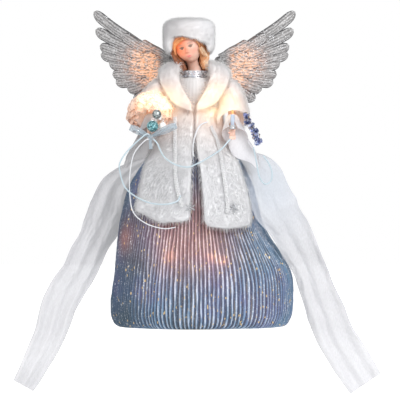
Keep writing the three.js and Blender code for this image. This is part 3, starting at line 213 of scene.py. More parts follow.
class Shaper:
    """Makes a piece from bmesh shapes, then dresses it and sets it on its body."""

    def __init__(self, name: str) -> None:
        """Starts an empty piece.

        Args:
            name: of the piece.
        """
        self.name = name
        self.form = bmesh.new()
        self.uv = self.form.loops.layers.uv.new("cloth")
        self.paint = self.form.verts.layers.float_color.new("paint")

    def copy(self, node: str, merge: float) -> None:
        """Copies a solid of the frame and merges its doubled points.

        Args:
            node: the solid's name.
            merge: how near two points are merged, in metres.
        """
        self.form.from_mesh(bpy.data.objects[node].data)
        self.uv = self.form.loops.layers.uv.verify()
        layers = self.form.verts.layers.float_color
        self.paint = layers.get("paint") or layers.new("paint")
        bmesh.ops.remove_doubles(self.form, verts=self.form.verts, dist=merge)

    def grid(self, columns: int, rows: int, place: Place, closed: bool = False,
             paint: Optional[Callable[[float, float], Sequence[float]]] = None,
             inside: bool = False) -> list[bmesh.types.BMVert]:
        """Lays a grid over a surface.

        Args:
            columns: faces along u.
            rows: faces along v.
            place: gives the point at (u, v), each from 0 to 1.
            closed: whether the last column meets the first.
            paint: gives the colour (r, g, b, a) at (u, v).
            inside: whether the faces look the other way.

        Returns:
            The grid's vertices.
        """
        made = bmesh.ops.create_grid(self.form, x_segments=columns, y_segments=rows, size=0.5)
        verts = made["verts"]
        shares = {v: (v.co.x + 0.5, v.co.y + 0.5) for v in verts}
        for face in {f for v in verts for f in v.link_faces}:
            for loop in face.loops:
                loop[self.uv].uv = shares[loop.vert]
        for v in verts:
            u, w = shares[v]
            v.co = place(u, w)
            if paint:
                v[self.paint] = paint(u, w)
        if inside:
            bmesh.ops.reverse_faces(self.form, faces=list({f for v in verts for f in v.link_faces}))
        if closed:
            seam = [v for v in verts if shares[v][0] < 1e-5 or shares[v][0] > 1 - 1e-5]
            bmesh.ops.remove_doubles(self.form, verts=seam, dist=1e-6)
            verts = [v for v in verts if v.is_valid]
        return verts

    def tube(self, path: Path, radius: Callable[[float], float], sides: int = 8, steps: int = 24,
             flat: float = 1.0, tone: Color = WHITE, up: Point = (0.05, 0.03, 1.0)) -> None:
        """Sweeps a round or flattened section along a path, with closed ends.

        Args:
            path: the middle of the tube.
            radius: the half width by share of the path.
            sides: faces round it.
            steps: faces along it.
            flat: the thickness as a share of the width.
            tone: the colour that its vertices carry.
            up: a direction that the section's flat side faces away from.
        """
        helper = Vector(up).normalized()
        rings = []
        for i in range(steps + 1):
            t = i / steps
            along = path.along(t)
            across = along.cross(helper).normalized()
            rings.append((path.at(t), across, along.cross(across).normalized()))

        def place(u: float, v: float) -> Vector:
            """A point round the section."""
            centre, across, face = rings[round(v * steps)]
            turn = TURN * u
            reach = radius(v)
            return centre + across * (reach * math.cos(turn)) + face * (reach * flat * math.sin(turn))

        verts = self.grid(sides, steps, place, closed=True, paint=lambda u, v: tone)
        edges = [e for e in {e for v in verts for e in v.link_edges} if e.is_boundary]
        made = bmesh.ops.holes_fill(self.form, edges=edges, sides=sides + 2)
        bmesh.ops.recalc_face_normals(self.form, faces=list(
            {f for v in verts for f in v.link_faces} | set(made["faces"])))

    def spin(self, outline: Table, centre: Point, steps: int = 24,
             tone: Color = WHITE) -> None:
        """Turns an outline of [radius, height] in millimetres about an upright axis.

        Args:
            outline: from one end to the other; it may start and end on the axis.
            centre: where its heights start.
            steps: faces round it.
            tone: the colour that its vertices carry.
        """
        old = set(self.form.verts)
        line = [self.form.verts.new((r * MM, 0, z * MM)) for r, z in outline]
        edges = [self.form.edges.new(pair) for pair in zip(line, line[1:])]
        bmesh.ops.spin(self.form, geom=line + edges, cent=(0, 0, 0), axis=(0, 0, 1), angle=TURN,
                       steps=steps, use_merge=True)
        bmesh.ops.remove_doubles(self.form, verts=[v for v in self.form.verts if v not in old], dist=1e-7)
        verts = [v for v in self.form.verts if v not in old]
        for v in verts:
            v[self.paint] = tone
        bmesh.ops.translate(self.form, vec=Vector(centre), verts=verts)
        bmesh.ops.recalc_face_normals(self.form, faces=list({f for v in verts for f in v.link_faces}))

    def ball(self, centre: Point, radius: float, detail: int = 3, tone: Color = WHITE,
             rough: float = 0.0, seed: int = 0) -> None:
        """A ball, its surface roughened by grains.

        Args:
            centre: its middle, in metres.
            radius: in millimetres.
            detail: how often its faces are split.
            tone: the colour that its vertices carry.
            rough: height of the grains in millimetres.
            seed: picks the grains.
        """
        made = bmesh.ops.create_icosphere(self.form, subdivisions=detail, radius=radius * MM)
        grain = random.Random(seed)
        for v in made["verts"]:
            v.co *= 1 + grain.uniform(-1, 1) * rough / radius
            v.co += Vector(centre)
            v[self.paint] = tone

    def finish(self, body: Body, look: "Finish", slot: str, replaces: Sequence[str] = (),
               smooth_faces: bool = True, rounds: int = 0) -> bpy.types.Object:
        """Turns the shape into a piece of the scene.

        Args:
            body: what it rides on.
            look: its finish.
            slot: the record's material slot.
            replaces: the solids that it stands for.
            smooth_faces: whether its faces are shaded smooth.
            rounds: levels of subdivision.

        Returns:
            The piece.
        """
        data = bpy.data.meshes.new(self.name)
        self.form.to_mesh(data)
        self.form.free()
        piece = placed(self.name, data)
        if smooth_faces:
            data.polygons.foreach_set("use_smooth", [True] * len(data.polygons))
        if rounds:
            soft = piece.modifiers.new("rounds", "SUBSURF")
            soft.levels = soft.render_levels = rounds
        data.materials.append(look.material())
        settle(piece, body, slot, replaces)
        return piece


def settle(piece: bpy.types.Object, body: Body, slot: str, replaces: Sequence[str] = ()) -> None:
    """Sets a finished piece on its body and hides the solids that it stands for.

    Args:
        piece: the piece, in its place.
        body: what it rides on.
        slot: the record's material slot; not used.
        replaces: the solids that it stands for.
    """
    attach(piece, body.value)
    if replaces:
        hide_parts(*replaces)
    LOG.info("made %s on %s", piece.name, body.value)


Term = Union["Wire", float]


class Wire:
    """A shader value that sums can be written with."""

    def __init__(self, tree: bpy.types.NodeTree, socket: bpy.types.NodeSocket) -> None:
        """Wraps an output socket of a tree."""
        self.tree, self.socket = tree, socket

    def _math(self, operation: str, *values: Term) -> "Wire":
        """Adds a Math node.

        Args:
            operation: what it does.
            values: what it does it with.

        Returns:
            Its result.
        """
        step = self.tree.nodes.new("ShaderNodeMath")
        step.operation = operation
        for slot, value in zip(step.inputs, values):
            if isinstance(value, Wire):
                self.tree.links.new(value.socket, slot)
            else:
                slot.default_value = value
        return Wire(self.tree, step.outputs[0])

    def __add__(self, other: Term) -> "Wire":
        """Sum."""
        return self._math("ADD", self, other)

    def __sub__(self, other: Term) -> "Wire":
        """Difference."""
        return self._math("SUBTRACT", self, other)

    def __rsub__(self, other: float) -> "Wire":
        """Difference the other way."""
        return self._math("SUBTRACT", other, self)

    def __mul__(self, other: Term) -> "Wire":
        """Product."""
        return self._math("MULTIPLY", self, other)

    def __rpow__(self, other: float) -> "Wire":
        """Power of a number."""
        return self._math("POWER", other, self)

    def above(self, edge: float) -> "Wire":
        """1 where the value is above the edge, else 0."""
        return self._math("GREATER_THAN", self, edge)

    def size(self) -> "Wire":
        """The value without its sign."""
        return self._math("ABSOLUTE", self)

    def sine(self) -> "Wire":
        """Sine."""
        return self._math("SINE", self)

    def clamped(self) -> "Wire":
        """The value kept from 0 to 1."""
        return self._math("MINIMUM", self._math("MAXIMUM", self, 0.0), 1.0)

    __radd__ = __add__
    __rmul__ = __mul__


Value = Union[Wire, float, Sequence[float]]


class Surface:
    """The node tree of one material."""

    def __init__(self, name: str) -> None:
        """Starts a material with a principled shader.

        Args:
            name: of the material.
        """
        self.material = bpy.data.materials.new(name)
        self.material.use_nodes = True
        self.tree = self.material.node_tree
        self.shader = self.tree.nodes["Principled BSDF"]
        self.place = self.node("ShaderNodeTexCoord", out="Object")

    def node(self, kind: str, settings: Optional[dict[str, object]] = None, out: Union[str, int] = 0,
             stops: Sequence[tuple[float, Tone]] = (), **values: Value) -> Wire:
        """Adds a node.

        Args:
            kind: its type.
            settings: its options, set first.
            out: the output that is wanted.
            stops: places and colours of a colour ramp.
            values: values or wires for its inputs, by name with _ for a space.

        Returns:
            The output.
        """
        made = self.tree.nodes.new(kind)
        for key, value in (settings or {}).items():
            setattr(made, key, value)
        for i, (position, color) in enumerate(stops):
            band = made.color_ramp.elements
            stop = band[i] if i < 2 else band.new(position)
            stop.position, stop.color = position, (*color, 1.0)
        for key, value in values.items():
            self.feed(made.inputs[int(key[1:]) if key[1:].isdigit() else key.replace("_", " ")], value)
        return Wire(self.tree, made.outputs[out])

    def feed(self, slot: bpy.types.NodeSocket, value: Value) -> None:
        """Links a wire to a socket, or sets its value.

        Args:
            slot: the socket.
            value: the wire or the value.
        """
        if isinstance(value, Wire):
            self.tree.links.new(value.socket, slot)
        elif isinstance(value, (int, float)):
            slot.default_value = value
        else:
            slot.default_value = (*value, 1.0) if len(value) == 3 and len(slot.default_value) == 4 else value

    def set(self, **values: Value) -> None:
        """Feeds the shader's own sockets, by name with _ for a space."""
        for key, value in values.items():
            self.feed(self.shader.inputs[key.replace("_", " ")], value)

    def stretched(self, x: float, y: float, z: float) -> Wire:
        """The place, scaled along each axis."""
        return self.node("ShaderNodeMapping", Vector=self.place, Scale=(x, y, z))

    def noise(self, scale: float, detail: float = 2.0, place: Optional[Wire] = None) -> Wire:
        """Soft noise about 0.5."""
        return self.node("ShaderNodeTexNoise", Vector=place or self.place, Scale=scale, Detail=detail)

    def streaks(self, scale: float, detail: float, upright: float) -> Wire:
        """Noise drawn out along Z, the more the smaller upright is."""
        return self.noise(scale, detail, self.stretched(1.0, 1.0, upright))

    def cells(self, scale: float, place: Optional[Wire] = None) -> Wire:
        """A value per cell."""
        place = place or self.place
        return self.channel(self.node("ShaderNodeTexVoronoi", out="Color", Vector=place, Scale=scale), 0)

    def channel(self, color: Wire, index: int) -> Wire:
        """One channel of a colour."""
        return self.node("ShaderNodeSeparateColor", out=index, Color=color)

    def axis(self, index: int, place: Optional[Wire] = None) -> Wire:
        """One axis of a place."""
        return self.node("ShaderNodeSeparateXYZ", out=index, Vector=place or self.place)

    def paint(self, index: int) -> Wire:
        """One channel of the colour that the piece's points carry."""
        return self.channel(self.node("ShaderNodeAttribute", {"attribute_name": "paint"}, out="Color"), index)

    def mixed(self, share: Value, a: Value, b: Value) -> Wire:
        """A colour between two."""
        return self.node("ShaderNodeMix", {"data_type": "RGBA"}, out=2, _0=share, _6=a, _7=b)

    def ramp(self, share: Wire, *stops: tuple[float, Tone]) -> Wire:
        """A colour from a ramp."""
        return self.node("ShaderNodeValToRGB", stops=stops, Fac=share)

    def near(self, centre: Sequence[float], radius: float) -> Wire:
        """A soft share that falls off round a place.

        Args:
            centre: where it is 1, in millimetres.
            radius: over which it falls off, in millimetres.

        Returns:
            The share.
        """
        far = self.node("ShaderNodeVectorMath", {"operation": "DISTANCE"}, out="Value",
                        _0=self.place, _1=tuple(c * MM for c in centre))
        return math.e ** (far * far * (-1 / (radius * MM) ** 2))

    def relief(self, height: Wire, depth: float, strength: float = 1.0) -> None:
        """Raises the surface by a height, its depth in millimetres."""
        self.set(Normal=self.node("ShaderNodeBump", Height=height, Distance=depth * MM, Strength=strength))

    def bulbs(self, lamps: Sequence["Lamp"], grow: float = 1.0) -> Wire:
        """The light of bulbs, their radii grown by a factor."""
        return sum((self.near(lamp.centre, lamp.radius * grow) * lamp.power for lamp in lamps[1:]),
                   self.near(lamps[0].centre, lamps[0].radius * grow) * lamps[0].power)

    def glow(self, share: Wire, strength: float, dim: Tone, bright: Tone) -> None:
        """Lights the surface from inside.

        Args:
            share: how much light there is, from place to place.
            strength: of the light at its brightest.
            dim: the colour where there is little.
            bright: the colour where there is much.
        """
        level = share.clamped()
        color = self.mixed(level, dim, bright)
        lit = self.mixed(level, (0.0, 0.0, 0.0), color)
        self.set(Emission_Color=lit, Emission_Strength=strength)


@dataclass(frozen=True)
class Lamp:
    """A lit bulb's soft glow on what lies near it, in millimetres."""

    centre: Spot
    radius: float
    power: float = 1.0


RIGHT_SLEEVE_LAMPS = (
    Lamp((-40, -30, 228), 9, 1.1), Lamp((-26, -32, 221), 10, 1.2), Lamp((-49, -28, 222), 8, 1.0),
    Lamp((-37, -30, 219), 24, 0.5),
)
SLEEVE_LAMPS = RIGHT_SLEEVE_LAMPS + (
    Lamp((17, -34, 222), 15, 0.95), Lamp((30, -30, 218), 13, 0.85), Lamp((22, -32, 220), 30, 0.4),
)
SKIRT_LAMPS = (
    Lamp((-24, -63, 71), 6, 0.6), Lamp((17, -68, 71), 5, 0.9), Lamp((28, -66, 68), 5, 1.0),
    Lamp((-26, -70, 74), 22, 0.42), Lamp((20, -70, 76), 22, 0.42), Lamp((-72, -28, 88), 13, 0.4),
    Lamp((0, -70, 92), 56, 0.2), Lamp((52, 55, 70), 16, 0.6), Lamp((-62, 48, 70), 16, 0.6),
)
INNER_LAMPS = tuple(
    Lamp(centre, 22) for centre in ((-24, -38, 70), (20, -37, 70), (34, 28, 70), (-36, 28, 70)))


@dataclass(frozen=True)
class Finish:
    """A plain finish; the others build on it."""

    name: str
    color: Tone
    roughness: float = 0.6
    metallic: float = 0.0

    def shade(self, *factors: float) -> Tone:
        """The finish's colour, darkened by one factor or by one for each channel."""
        return tuple(c * f for c, f in zip(self.color, factors if len(factors) == 3 else factors * 3))

    def material(self) -> bpy.types.Material:
        """The material of this name, made on first use."""
        known = bpy.data.materials.get(self.name)
        if known:
            return known
        surface = Surface(self.name)
        surface.set(Base_Color=self.color, Roughness=self.roughness, Metallic=self.metallic)
        self.dress(surface)
        return surface.material

    def dress(self, s: Surface) -> None:
        """Adds the finish's detail: a slight mottle and grain."""
        mottle = s.noise(260.0, 4.0)
        s.set(Base_Color=s.mixed(mottle * 0.35, self.color, self.shade(0.82)))
        s.relief(s.noise(1500.0), 0.05, 0.5)

    def lamps(self, s: Surface, lamps: Sequence[Lamp], strength: float, dim: Tone = (1.0, 0.55, 0.36),
              bright: Tone = (1.0, 0.84, 0.56), share: Value = 1.0) -> None:
        """Adds the glow of bulbs to the surface.

        Args:
            s: the surface.
            lamps: the bulbs.
            strength: of the glow at its brightest.
            dim: the colour far from the bulbs.
            bright: the colour near them.
            share: how much of the light passes, from place to place.
        """
        s.glow(s.bulbs(lamps) * share, strength, dim, bright)


@dataclass(frozen=True)
class Fur(Finish):
    """Soft pile, darker and cooler at its roots as painted shade deep in the pile. Paint: r along a hair, g
    its own tone.
    """

    strength: float = 0.55

    def dress(self, s: Surface) -> None:
        """Paints shade from root to tip, painted shade on the hat and the right front panel, and painted light
        near the bulbs.
        """
        along, own = s.paint(0), s.paint(1)
        # Darker and cooler at the roots: painted shade deep in the pile, with each hair's own tone and a
        # mottle.
        shade = s.mixed((along * 0.6 + own * 0.3 + s.noise(60.0) * 0.5 - 0.05).clamped(),
                        self.shade(0.84, 0.85, 0.88), self.color)
        # Cream near the sleeve bulbs: painted warm light.
        glow = s.bulbs((Lamp((-40, -30, 228), 9), *SLEEVE_LAMPS[1:]), 1.5)
        shade = s.mixed((glow * 0.45).clamped(), shade, (0.95, 0.86, 0.70))
        # Painted shade: grey on the hat's top at the angel's right, pinkish under its front, grey on the right
        # front panel.
        shade = s.mixed(s.near((-20, -12, 296), 18) * 0.8, shade, (0.56, 0.55, 0.56))
        shade = s.mixed(s.near((-8, -38, 288), 22) * 0.45, shade, (0.72, 0.65, 0.63))
        shade = s.mixed(s.near((-34, -60, 150), 30) * 0.55, shade, (0.62, 0.62, 0.635))
        s.set(Base_Color=shade, Sheen_Weight=0.7, Specular_IOR_Level=0.15)
        self.lamps(s, SLEEVE_LAMPS, self.strength, (1.0, 0.34, 0.20), (1.0, 0.62, 0.33))


@dataclass(frozen=True)
class Plisse(Finish):
    """Crushed pleats of blue cloth with gold flecks; the ridges are painted pale silver as a highlight.

    Paint: r a rib's height, b its shaded side, darkened as painted shade.
    """

    def dress(self, s: Surface) -> None:
        """Paints the ribs with painted shade and highlight, painted warm bulb light in the middle, the flecks,
        painted glints and the lit spots.
        """
        ridge = s.paint(0)
        drift = s.noise(20.0, 3.0)
        fine = s.streaks(620.0, 3.0, 0.16)
        coarse = s.streaks(150.0, 2.0, 0.12)
        hue = s.ramp(drift, (0.32, (0.028, 0.058, 0.088)), (0.5, (0.042, 0.078, 0.145)),
                     (0.68, (0.078, 0.085, 0.185)))
        middle = s.ramp(drift, (0.32, (0.12, 0.22, 0.32)), (0.5, (0.15, 0.28, 0.44)),
                        (0.68, (0.19, 0.24, 0.43)))
        # Painted warm light from the skirt's bulbs, reddening the middle front and the angel's right side.
        painted_bulb_warmth = (s.near((-8, -63, 100), 44) * 1.2 + s.near((-70, -26, 92), 24) * 0.7).clamped()
        deep = s.mixed(painted_bulb_warmth * 0.8, hue, (0.15, 0.075, 0.075))
        body = s.mixed(painted_bulb_warmth * 0.85, middle, (0.34, 0.20, 0.20))
        # Crests painted paler low at the front: a painted highlight.
        bright = s.near((8, -70, 30), 55)
        pale = s.mixed(bright, (0.30, 0.38, 0.50), (0.55, 0.64, 0.78))
        pale = s.mixed(painted_bulb_warmth * 0.65, pale, (0.60, 0.42, 0.40))
        # Darker towards the skirt's sides, which turn from the light: painted shade.
        x = s.axis(0) * 1000.0
        aside = ((-36.0 - x) * 0.03).clamped() + ((x - 62.0) * 0.03).clamped() * 0.4
        pale, body = s.mixed(aside * 0.8, pale, hue), s.mixed(aside * 0.85, body, hue)
        # Troughs painted dark between the ribs: painted shade.
        low = s.mixed((ridge * 1.9 + fine * 1.2 - 0.72 - aside * 0.8).clamped(), deep, body)
        twist = s.streaks(330.0, 2.0, 0.7)
        # Pale crests along the ridges: a painted highlight.
        crest_highlight = ((ridge - 0.56) * 2.3 + (fine - 0.5) * 2.6 + (coarse - 0.5) * 3.8 + (twist - 0.5) * 1.6
                 - aside * 0.5).clamped()
        cloth = s.mixed(crest_highlight, low, pale)
        # Near-black on each rib's shaded side, beside its crest: painted shade; the gold thread below follows
        # the same side.
        rib_shaded_side = s.paint(2)
        cloth = s.mixed((rib_shaded_side * (fine * 1.3 + 0.15) * (1.0 - aside * 0.6)).clamped(), cloth,
                        (0.045, 0.042, 0.055))
        gilt = (rib_shaded_side * (coarse - 0.52) * 6.0 + (fine - 0.62) * 1.2).clamped()
        cloth = s.mixed(gilt * 0.6, cloth, (0.36, 0.28, 0.17))
        fleck = s.cells(1150.0, place=s.stretched(1.0, 1.0, 0.42)).above(0.986)
        flecked = s.mixed(fleck, cloth, (0.60, 0.44, 0.22))
        # Pale grains on the crests: painted glints.
        painted_glint = s.cells(1400.0).above(0.88) * (crest_highlight * 0.85 + 0.15).clamped()
        s.set(Base_Color=s.mixed(painted_glint * 0.8, flecked, (0.80, 0.84, 0.90)), Roughness=0.55 - fleck * 0.25,
              Metallic=(fleck * 0.5 + crest_highlight * 0.15).clamped())
        s.relief(fine + s.noise(1400.0) * 0.5, 0.35, 0.8)
        self.lamps(s, SKIRT_LAMPS, 0.85, (0.62, 0.17, 0.09), (1.0, 0.42, 0.19),
                   (0.12 + ridge * 0.55 + fine * 0.45).clamped())


@dataclass(frozen=True)
class Organza(Finish):
    """Sheer cloth with a fine weave and glitter."""

    cover: float = 0.6
    glitter: float = 0.1
    crease_shade: float = 0.0
    lit: Sequence[Lamp] = ()
    strength: float = 0.8
    thin: Optional[Lamp] = None

    def dress(self, s: Surface) -> None:
        """Weaves the cloth, thins it, draws its selvedge and paints shade in its folds and creases and glints
        on its glitter.
        """
        weave = s.streaks(900.0, 2.0, 0.35)
        folds = s.noise(26.0, 2.0)
        # Glitter grains: less rough and less sheer, and painted white as glints.
        glitter_glint = s.cells(700.0).above(1 - 0.06 * self.glitter)
        across = s.axis(0, s.node("ShaderNodeUVMap", {"uv_map": "cloth"}))
        hem = (1.0 - across * 55.0).clamped() + (across * 55.0 - 54.0).clamped()
        # Crease lines of the crumpled cloth, painted dark as shade and dimmed in the glow.
        crumple = s.noise(140.0, 3.0)
        crease_shade_mask = (1.0 - (crumple - 0.5).size() * 26.0).clamped() * self.crease_shade
        # Broad noise darkens the cloth as painted shade in folds; the weave adds its own grain.
        tone = s.mixed((weave * 0.35 + folds * 0.8 - 0.08).clamped(), self.shade(0.86), self.color)
        line = self.shade(0.42, 0.33, 0.3) if self.crease_shade else self.shade(0.55, 0.56, 0.6)
        tone = s.mixed(((hem * 0.3).clamped() + crease_shade_mask).clamped(), tone, line)
        bare = s.bulbs((self.thin,)) if self.thin else 0.0
        tone = s.mixed(bare * 2.2, tone, (0.36, 0.43, 0.53)) if self.thin else tone
        s.set(Base_Color=s.mixed(glitter_glint, tone, (1.0, 1.0, 1.0)), Roughness=0.6 - glitter_glint * 0.3,
              Alpha=(self.cover + (weave - 0.5) * 0.2 + glitter_glint * 0.2 + hem * 0.15 - bare * 0.35).clamped())
        s.relief(weave, 0.08, 0.5)
        if self.lit:
            self.lamps(s, self.lit, self.strength, (1.0, 0.50, 0.30), (1.0, 0.84, 0.55), 1.0 - crease_shade_mask * 0.8)


@dataclass(frozen=True)
class Satin(Finish):
    """Smooth woven cloth with a sheen along its length."""

    def dress(self, s: Surface) -> None:
        """Adds thread lines."""
        thread = s.streaks(1100.0, 2.0, 0.12)
        s.set(Base_Color=s.mixed(thread * 0.5, self.shade(0.85), self.color), Sheen_Weight=0.3)
        s.relief(thread, 0.06, 0.7)


@dataclass(frozen=True)
class GlitterPlastic(Finish):
    """Moulded feathers under silver glitter, lit from behind near the root. Paint: r ridge, painted lighter as
    a highlight; g edge, painted darker as shade.
    """

    def dress(self, s: Surface) -> None:
        """Covers the feathers with grains and painted glints, paints light on the ridges and shade at the
        edges, and lights the inner half.
        """
        ridge, edge = s.paint(0), s.paint(1)
        cell = s.cells(1300.0)
        grain = s.noise(520.0, 4.0)
        # Ridges painted lighter as a highlight and feather edges darker as shade.
        base = s.ramp((ridge * 0.4 + grain * 0.75 - edge * 0.6 - 0.03).clamped(), (0.15, (0.05, 0.05, 0.055)),
                      (0.5, (0.23, 0.225, 0.225)), (0.9, (0.54, 0.53, 0.53)))
        # The brightest grains painted pale: painted glints.
        s.set(Base_Color=s.mixed(cell.above(0.95), base, (0.66, 0.67, 0.69)),
              Roughness=0.5 - cell.above(0.8) * 0.25)
        s.relief(cell * 0.6 + grain, 0.3, 0.9)
        lit = s.near((-49, 38, 261), 17) + s.near((49, 38, 261), 17)
        lit = lit + (s.near((-40, 38, 243), 11) + s.near((40, 38, 243), 11)) * 0.8
        lit = lit * ((s.axis(0).size() * 1000.0 - 30.0) * 0.14).clamped()
        crumple = s.noise(210.0, 3.0, s.stretched(0.6, 1.0, 1.5))
        crease = ((crumple - 0.5).size() * 10.0 + ridge * 0.3 - edge * 0.8 - 0.1).clamped()
        s.glow(lit * (crease * 0.95 + 0.05) * 1.5, 0.66, (0.55, 0.14, 0.025), (1.0, 0.40, 0.12))


@dataclass(frozen=True)
class Painted(Finish):
    """Doll's skin. Paint: r lips, g brow and lash, b blush."""

    def dress(self, s: Surface) -> None:
        """Paints the features over the skin, a painted shadow on the neck below the chin, and painted orange
        light on the angel's right side of the face.
        """
        tone = s.mixed(s.noise(160.0) * 0.3, self.color, self.shade(1.0, 0.9, 0.86))
        tone = s.mixed(s.paint(2) * 0.6, tone, (0.88, 0.33, 0.24))
        shaded = s.near((-9, -7, 258), 10)
        tone = s.mixed((shaded * 0.95).clamped(), tone, (0.30, 0.12, 0.07))
        lit = s.near((-18, -18, 274), 12) * 1.3 * (1.0 - s.paint(1) * 0.9)
        tone = s.mixed(lit.clamped(), tone, (0.60, 0.19, 0.10))
        tone = s.mixed(s.paint(0) * 0.85, tone, (0.74, 0.20, 0.20))
        tone = s.mixed(s.paint(1), tone, (0.16, 0.085, 0.05))
        s.set(Base_Color=tone, Subsurface_Weight=0.12, Subsurface_Radius=(0.004, 0.0015, 0.001))
        s.relief(s.noise(900.0), 0.04, 0.4)
        glow = s.near((-19, -18, 276), 12.5) * 1.2 + s.near((-15, -18, 266), 9) * 0.6
        s.glow(glow * (1.0 - s.paint(1) * 0.95), 0.4, (0.58, 0.09, 0.02), (0.92, 0.20, 0.05))


@dataclass(frozen=True)
class Hair(Finish):
    """Silky wavy hair. Paint: r the lock's own tone, g along it."""

    def dress(self, s: Surface) -> None:
        """Colours lock by lock, with fine streaks, and adds a painted glow on the hair at the angel's right of
        the face.
        """
        streak = s.streaks(900.0, 2.0, 0.3)
        share = (s.paint(0) + (streak - 0.5) * 0.6).clamped()
        s.set(Base_Color=s.ramp(share, (0.0, (0.13, 0.045, 0.02)), (0.35, (0.52, 0.17, 0.055)),
                                (0.7, (0.74, 0.38, 0.17)), (1.0, (0.86, 0.74, 0.58))))
        s.relief(streak, 0.15, 0.8)
        s.glow(s.near((-21, -16, 277), 9) * 0.8 + s.near((-20, -14, 262), 10) * 0.3, 0.4,
               (0.55, 0.13, 0.02), (0.95, 0.40, 0.13))


@dataclass(frozen=True)
class Glitter(Finish):
    """Coarse glitter on a ball."""

    def dress(self, s: Surface) -> None:
        """Gives each grain its own tone and tilt; the light grains are painted glints and the dark ones
        painted shade.
        """
        cell = s.cells(880.0)
        # The lightest grain tone: painted glints.
        light = tuple(min(1.0, c * 1.25 + 0.2) for c in self.color)
        s.set(Base_Color=s.ramp(cell, (0.15, self.shade(0.35)), (0.5, self.color), (0.85, light)))
        s.relief(cell, 0.35, 1.0)


@dataclass(frozen=True)
class Tinsel(Finish):
    """Metallic strips. Paint: the strip's own colour."""

    def dress(self, s: Surface) -> None:
        """Takes each strip's colour from its points."""
        own = s.node("ShaderNodeAttribute", {"attribute_name": "paint"}, out="Color")
        s.set(Base_Color=s.mixed(s.noise(800.0) * 0.3, own, self.color))
        s.relief(s.noise(1200.0), 0.05, 0.5)


@dataclass(frozen=True)
class Waxed(Finish):
    """Candle: pale wax, aglow from the foot of its flame, in millimetres."""

    flame: float = 208.8

    def dress(self, s: Surface) -> None:
        """Fades the wax and lights the tip."""
        tip = (s.axis(2) * 1000.0 - self.flame).clamped()
        s.set(Base_Color=s.mixed(tip, self.color, (0.90, 0.42, 0.17)))
        s.relief(s.noise(600.0), 0.06, 0.5)
        s.glow(tip, 0.4, (0.9, 0.3, 0.08), (1.0, 0.40, 0.12))


@dataclass(frozen=True)
class BulbGlass(Finish):
    """Clear bulb, lit."""

    def dress(self, s: Surface) -> None:
        """Lights the glass along its filament."""
        streak = s.noise(700.0)
        s.relief(streak, 0.05, 0.3)
        s.glow(streak * 0.4 + 0.7, 2.2, (1.0, 0.6, 0.25), (1.0, 0.86, 0.55))


@dataclass(frozen=True)
class Woven(Finish):
    """Plain cloth or card with a square weave, with a painted glow near the skirt's bulbs."""

    pitch: float = 0.8
    strength: float = 0.35

    def dress(self, s: Surface) -> None:
        """Lays warp and weft."""
        turn = TURN / (self.pitch * MM)
        warp, weft = (s.axis(0) * turn).sine(), (s.axis(2) * turn).sine()
        weave = (warp * weft * 0.5 + 0.5).clamped()
        s.set(Base_Color=s.mixed(weave * 0.3 + s.noise(60.0) * 0.2, self.color, self.shade(0.75)))
        s.relief(weave, 0.08, 0.6)
        self.lamps(s, INNER_LAMPS, self.strength)


@dataclass(frozen=True)
class Metal(Finish):
    """Drawn or polished metal with light scratches."""

    def dress(self, s: Surface) -> None:
        """Scratches the metal along its length."""
        scratch = s.streaks(1800.0, 2.0, 0.1)
        s.set(Base_Color=s.mixed(scratch * 0.4, self.color, self.shade(0.7)),
              Roughness=self.roughness + (scratch - 0.5) * 0.2)
        s.relief(scratch, 0.03, 0.5)


WHITE_FUR = Fur("white_fur", (0.94, 0.94, 0.955), 0.9)
PLEATED_CLOTH = Plisse("pleated_cloth", (0.42, 0.52, 0.66))
LINING = Woven("gown_lining", (0.80, 0.83, 0.87), 0.85)
CARD = Woven("stiff_card", (0.70, 0.67, 0.60), 0.9, pitch=1.6)
FORM = Finish("torso_foam", (0.85, 0.83, 0.79), 0.85)
BODICE_SATIN = Satin("bodice_satin", (0.74, 0.735, 0.74), 0.4)
PANEL_SATIN = Satin("ribbon_satin", (0.50, 0.61, 0.67), 0.35)
WHITE_SATIN = Satin("white_satin", (0.74, 0.76, 0.79), 0.4)
SKIN = Painted("doll_skin", (0.80, 0.54, 0.44), 0.42)
HAIR = Hair("golden_hair", (0.80, 0.45, 0.20), 0.4)
STREAMER_CLOTH = Organza("streamer_organza", (0.62, 0.62, 0.655), cover=0.76, glitter=0.0,
                         thin=Lamp((66, -14, 134), 38, 0.36))
SLEEVE_CLOTH = Organza("sleeve_organza", (0.72, 0.72, 0.75), cover=0.94, glitter=0.0,
                       lit=SLEEVE_LAMPS, strength=0.3)
SHADED_SLEEVE_CLOTH = Organza("sleeve_organza_shaded", (0.42, 0.415, 0.43), cover=0.94, glitter=0.0,
                              lit=SLEEVE_LAMPS, strength=0.2)
FRILL_CLOTH = Organza("cuff_tulle", (0.80, 0.57, 0.46), cover=0.84, crease_shade=0.8,
                      lit=RIGHT_SLEEVE_LAMPS, strength=0.95)
BOW_CLOTH = Organza("bow_organza", (0.42, 0.50, 0.56), cover=0.66, glitter=0.1)
BRAID_YARN = Satin("braid_yarn", (0.86, 0.865, 0.88), 0.7)
WING_PLASTIC = GlitterPlastic("glittered_feathers", (0.60, 0.62, 0.65), metallic=0.1)
SILVER = Metal("polished_silver", (0.78, 0.79, 0.80), 0.16, 1.0)
DULL_SILVER = Metal("dull_silver", (0.42, 0.43, 0.45), 0.35, 0.9)
STEEL = Metal("drawn_steel", (0.52, 0.53, 0.55), 0.35, 0.95)
SILVER_GLITTER = Glitter("silver_glitter", (0.24, 0.27, 0.27), 0.3, 0.6)
TEAL_GLITTER = Glitter("teal_grains", (0.09, 0.28, 0.31), 0.3, 0.45)
PEARL = Finish("pearl_lustre", (0.95, 0.90, 0.86), 0.18)
STONE = Tinsel("cut_stone", (0.80, 0.82, 0.86), 0.3, 0.7)
CANDLE_WAX = Waxed("candle_wax", (0.46, 0.53, 0.64), 0.4)
